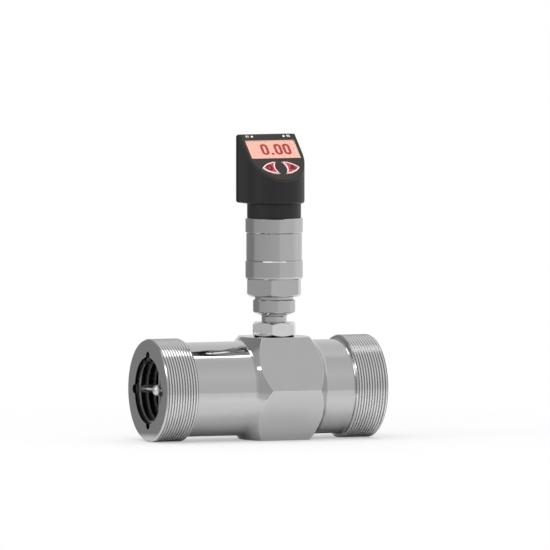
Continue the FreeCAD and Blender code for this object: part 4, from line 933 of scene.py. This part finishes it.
# %% Print the keys' marks
OVAL_WIDTH, OVAL_HEIGHT, OVAL_CORNER, OVAL_STROKE = 3.5, 4.4, 1.7, 1.0
ARROW_RADIUS, ARROW_STROKE = 2.5, 0.9
MARK_THICK, MARK_SHIFT = 0.04, 0.6
oval = rounded_plate("left_key_mark", OVAL_WIDTH, OVAL_HEIGHT, OVAL_CORNER)
arrow = add_shape(bpy.ops.mesh.primitive_circle_add, "right_key_mark", vertices=3,
                  radius=ARROW_RADIUS * MM, fill_type="NGON")
for side, mark, stroke, shift in (("left", oval, OVAL_STROKE, -MARK_SHIFT),
                                  ("right", arrow, ARROW_STROKE, MARK_SHIFT)):
    hollow(mark, stroke)
    thicken(mark, MARK_THICK)
    across = (middle_of(side + "_button").x - STEM_X) / MM + shift
    up = up_from_window(side + "_button")
    mark.data.transform(on_slope(across, up, KEY_TOP))
    hand_over(mark, side + "_key", "button_red", KEY_DARK)
    print(mark.name, "at", round(across, 2), round(up, 2))

# %% [markdown]
# ## The numbers beside the lamps
# Each status lamp has a plain number printed beside it. Blender's own letter shapes are
# enough: a text object becomes a mesh, gets a trace of thickness, and is laid on the film.

# %% Print the numbers
NUMBER_SIZE, BOLDER, HALF_INK = 2.2 * MM, 0.08 * MM, 0.01 * MM
NUMBERS_UP = up_from_window("left_status_lens") + 0.1
for number, across in (("01", -12.9), ("02", 13.0)):
    text = add_shape(bpy.ops.object.text_add, "lamp_number_" + number[-1])
    text.data.body = number
    text.data.size = NUMBER_SIZE
    text.data.offset = BOLDER
    text.data.align_x = "CENTER"
    text.data.align_y = "CENTER"
    text.data.extrude = HALF_INK
    bpy.ops.object.convert(target="MESH")
    label = bpy.context.object
    label.data.transform(on_slope(across, NUMBERS_UP, FILM_TOP + 1.1 * HALF_INK))
    hand_over(label, "display_head", "faceplate_film", WHITE_PRINT)
    print(label.name, "faces:", len(label.data.polygons))

# %% [markdown]
# ## Floor and light
# The meter stands on a plain pale floor. Close to the object the floor is a matt surface that
# takes its shadow, with four tenths of a white glow mixed in, which is painted light that
# lifts that shadow; further out the glow takes over and it fades into the white of the
# background, so no edge shows.
# Polished steel would mirror that white, so beyond a hand's width mirrors look through the
# floor and see the tent instead.

# %% Lay the floor
FLOOR_RADIUS, FADE_FROM, FADE_TO = 6.0, 0.02, 0.4
CLEAR_FROM, CLEAR_TO = 0.08, 0.13
floor = add_shape(bpy.ops.mesh.primitive_circle_add, "studio_floor", vertices=96,
                  radius=FLOOR_RADIUS, fill_type="NGON")
material, tree, shader = new_material("matt_white_floor")
shader.inputs["Base Color"].default_value = linear("#f8f8f8")
shader.inputs["Roughness"].default_value = 0.9
shader.inputs["Specular IOR Level"].default_value = 0.1
place = add_node(tree, "ShaderNodeTexCoord", {})
distance = add_node(tree, "ShaderNodeVectorMath", {0: place.outputs["Object"]},
                    operation="LENGTH")
# Painted light: even next to the object, four tenths of what the camera sees of the floor is
# white glow, which lightens its shadow.
floor_glow_share = add_node(tree, "ShaderNodeMapRange",
                {"Value": distance.outputs["Value"], "From Min": FADE_FROM,
                 "From Max": FADE_TO, "To Min": 0.4, "To Max": 1.0},
                interpolation_type="SMOOTHSTEP")
path = add_node(tree, "ShaderNodeLightPath", {})
seen = add_node(tree, "ShaderNodeMath",
                {0: floor_glow_share.outputs[0], 1: path.outputs["Is Camera Ray"]}, operation="MULTIPLY")
white = add_node(tree, "ShaderNodeEmission", {"Color": (1, 1, 1, 1), "Strength": 1.0})
blend = add_node(tree, "ShaderNodeMixShader",
                 {0: seen.outputs[0], 1: shader.outputs[0], 2: white.outputs[0]})
near = add_node(tree, "ShaderNodeMapRange",
                {"Value": distance.outputs["Value"], "From Min": CLEAR_FROM,
                 "From Max": CLEAR_TO})
unseen = add_node(tree, "ShaderNodeMath",
                  {0: near.outputs[0], 1: path.outputs["Is Glossy Ray"]},
                  operation="MULTIPLY")
gone = add_node(tree, "ShaderNodeBsdfTransparent", {})
whole = add_node(tree, "ShaderNodeMixShader",
                 {0: unseen.outputs[0], 1: blend.outputs[0], 2: gone.outputs[0]})
feed_output(tree, whole.outputs[0])
floor.data.materials.append(material)
print("floor radius", FLOOR_RADIUS, "m, white beyond", FADE_TO, "m")

# %% [markdown]
# A product studio stands dark and light cards round its subject, for the polished metal to
# mirror. The tent does the same with one sphere that only mirrors see. One ramp gives its
# grey tone by compass direction, another by height, and the two are multiplied.

# %% Raise the tent
TENT_RADIUS = 5.5
tent = add_shape(bpy.ops.mesh.primitive_uv_sphere_add, "studio_tent", segments=64,
                 ring_count=32, radius=TENT_RADIUS)
tent.visible_camera = tent.visible_diffuse = tent.visible_shadow = False
tent.visible_transmission = False
material, tree, shader = new_material("soft_grey_tent")
place = add_node(tree, "ShaderNodeTexCoord", {})
split = add_node(tree, "ShaderNodeSeparateXYZ", {"Vector": place.outputs["Object"]})
compass = add_node(tree, "ShaderNodeMath",
                   {0: split.outputs["X"], 1: split.outputs["Y"]}, operation="ARCTAN2")
around = add_node(tree, "ShaderNodeMapRange",
                  {"Value": compass.outputs[0], "From Min": -math.pi, "From Max": math.pi})
bands = add_node(tree, "ShaderNodeValToRGB", {"Fac": around.outputs[0]})
rise = add_node(tree, "ShaderNodeMapRange",
                {"Value": split.outputs["Z"], "From Min": -TENT_RADIUS,
                 "From Max": TENT_RADIUS})
heights = add_node(tree, "ShaderNodeValToRGB", {"Fac": rise.outputs[0]})
both = add_node(tree, "ShaderNodeMix",
                {0: 1.0, 6: bands.outputs[0], 7: heights.outputs[0]}, data_type="RGBA",
                blend_type="MULTIPLY")
glow = add_node(tree, "ShaderNodeEmission", {"Color": both.outputs[2], "Strength": 1.5})
feed_output(tree, glow.outputs[0])
tent.data.materials.append(material)
print("tent radius", TENT_RADIUS, "m, seen by mirrors only")

# %% Set the tent's tones
def compass_place(degrees):
    """Where a direction lies along the ramp, counted from the camera's to the right."""
    facing = math.atan2(BACK.x, BACK.y) - math.radians(degrees)
    return (math.atan2(math.sin(facing), math.cos(facing)) + math.pi) / (2 * math.pi)


def fill_ramp(node, stops):
    """Sets a ramp's stops, each a place from 0 to 1 and a grey tone."""
    elements = node.color_ramp.elements
    while len(elements) < len(stops):
        elements.new(0.5)
    for element, (spot, tone) in zip(elements, sorted(stops)):
        element.position = spot
        element.color = (tone, tone, tone, 1.0)


AROUND = ((-179, 0.74), (-165, 0.74), (-155, 0.29), (-96, 0.29), (-84, 0.46), (22, 0.56),
          (30, 0.67), (80, 0.68), (110, 0.82), (179, 0.75))
UPWARD = ((-90, 0.15), (-66, 0.55), (-50, 0.85), (-9, 0.86), (-5, 0.67), (10, 0.67),
          (30, 0.73), (60, 0.65), (90, 0.67))
fill_ramp(bands, [(compass_place(angle), tone) for angle, tone in AROUND])
fill_ramp(heights, [((math.sin(math.radians(angle)) + 1) / 2, tone)
                    for angle, tone in UPWARD])
print("tent:", len(AROUND), "tones round the set,", len(UPWARD), "from floor to top")

# %% [markdown]
# Three lamps light the set. A long softbox hangs overhead and draws the bright line along the
# top of the pipe. A large fill in front lights what is matt, such as the head and the floor;
# mirrors don't see it. A small lamp far off on the inlet's side lights the vanes in the bore.

# %% Hang the lamps
def hang_lamp(name, width, depth, watts, place, turn=(0.0, 0.0, 0.0)):
    """A rectangular area lamp, which points straight down until it is turned."""
    data = bpy.data.lights.new(name, "AREA")
    data.shape = "RECTANGLE"
    data.size, data.size_y, data.energy = width, depth, watts
    lamp = bpy.data.objects.new(name, data)
    bpy.context.scene.collection.objects.link(lamp)
    lamp.location = place
    lamp.rotation_euler = turn
    return lamp


hang_lamp("overhead_softbox", 1.05, 0.36, 2.5, (STEM_X - 0.055, 0.075, 1.15))
fill = hang_lamp("front_fill", 0.9, 0.9, 4.6, (STEM_X - 0.15, -0.75, 1.25),
                 (math.radians(31), 0.0, 0.0))
fill.visible_glossy = False
inlet_centre = Vector((INLET_X, 0.0, AXIS_Z))
inlet_place = inlet_centre + Vector((-1.05, -0.12, 0.5))
hang_lamp("inlet_lamp", 0.4, 0.4, 1.6, inlet_place,
          (inlet_centre - inlet_place).to_track_quat("-Z", "Y").to_euler())

# %% [markdown]
# The world is plain white where the camera, a mirror or the window looks at it. As a source
# of light for matt surfaces it is dimmer, so the lamps still draw a soft shadow.

# %% Set the world
WORLD_LIGHT = 0.69
world = bpy.data.worlds.new("white_studio")
bpy.context.scene.world = world
world.use_nodes = True
tree = world.node_tree
tree.nodes.clear()
path = add_node(tree, "ShaderNodeLightPath", {})
mirror = add_node(tree, "ShaderNodeMath",
                  {0: path.outputs["Is Glossy Ray"], 1: path.outputs["Is Transmission Ray"]},
                  operation="ADD")
seen = add_node(tree, "ShaderNodeMath",
                {0: path.outputs["Is Camera Ray"], 1: mirror.outputs[0]}, operation="ADD",
                use_clamp=True)
strength = add_node(tree, "ShaderNodeMapRange",
                    {"Value": seen.outputs[0], "To Min": WORLD_LIGHT, "To Max": 1.0})
back = add_node(tree, "ShaderNodeBackground",
                {"Color": (1, 1, 1, 1), "Strength": strength.outputs[0]})
add_node(tree, "ShaderNodeOutputWorld", {"Surface": back.outputs[0]})
print("world", WORLD_LIGHT, "for matt surfaces, 1.0 where it is seen")
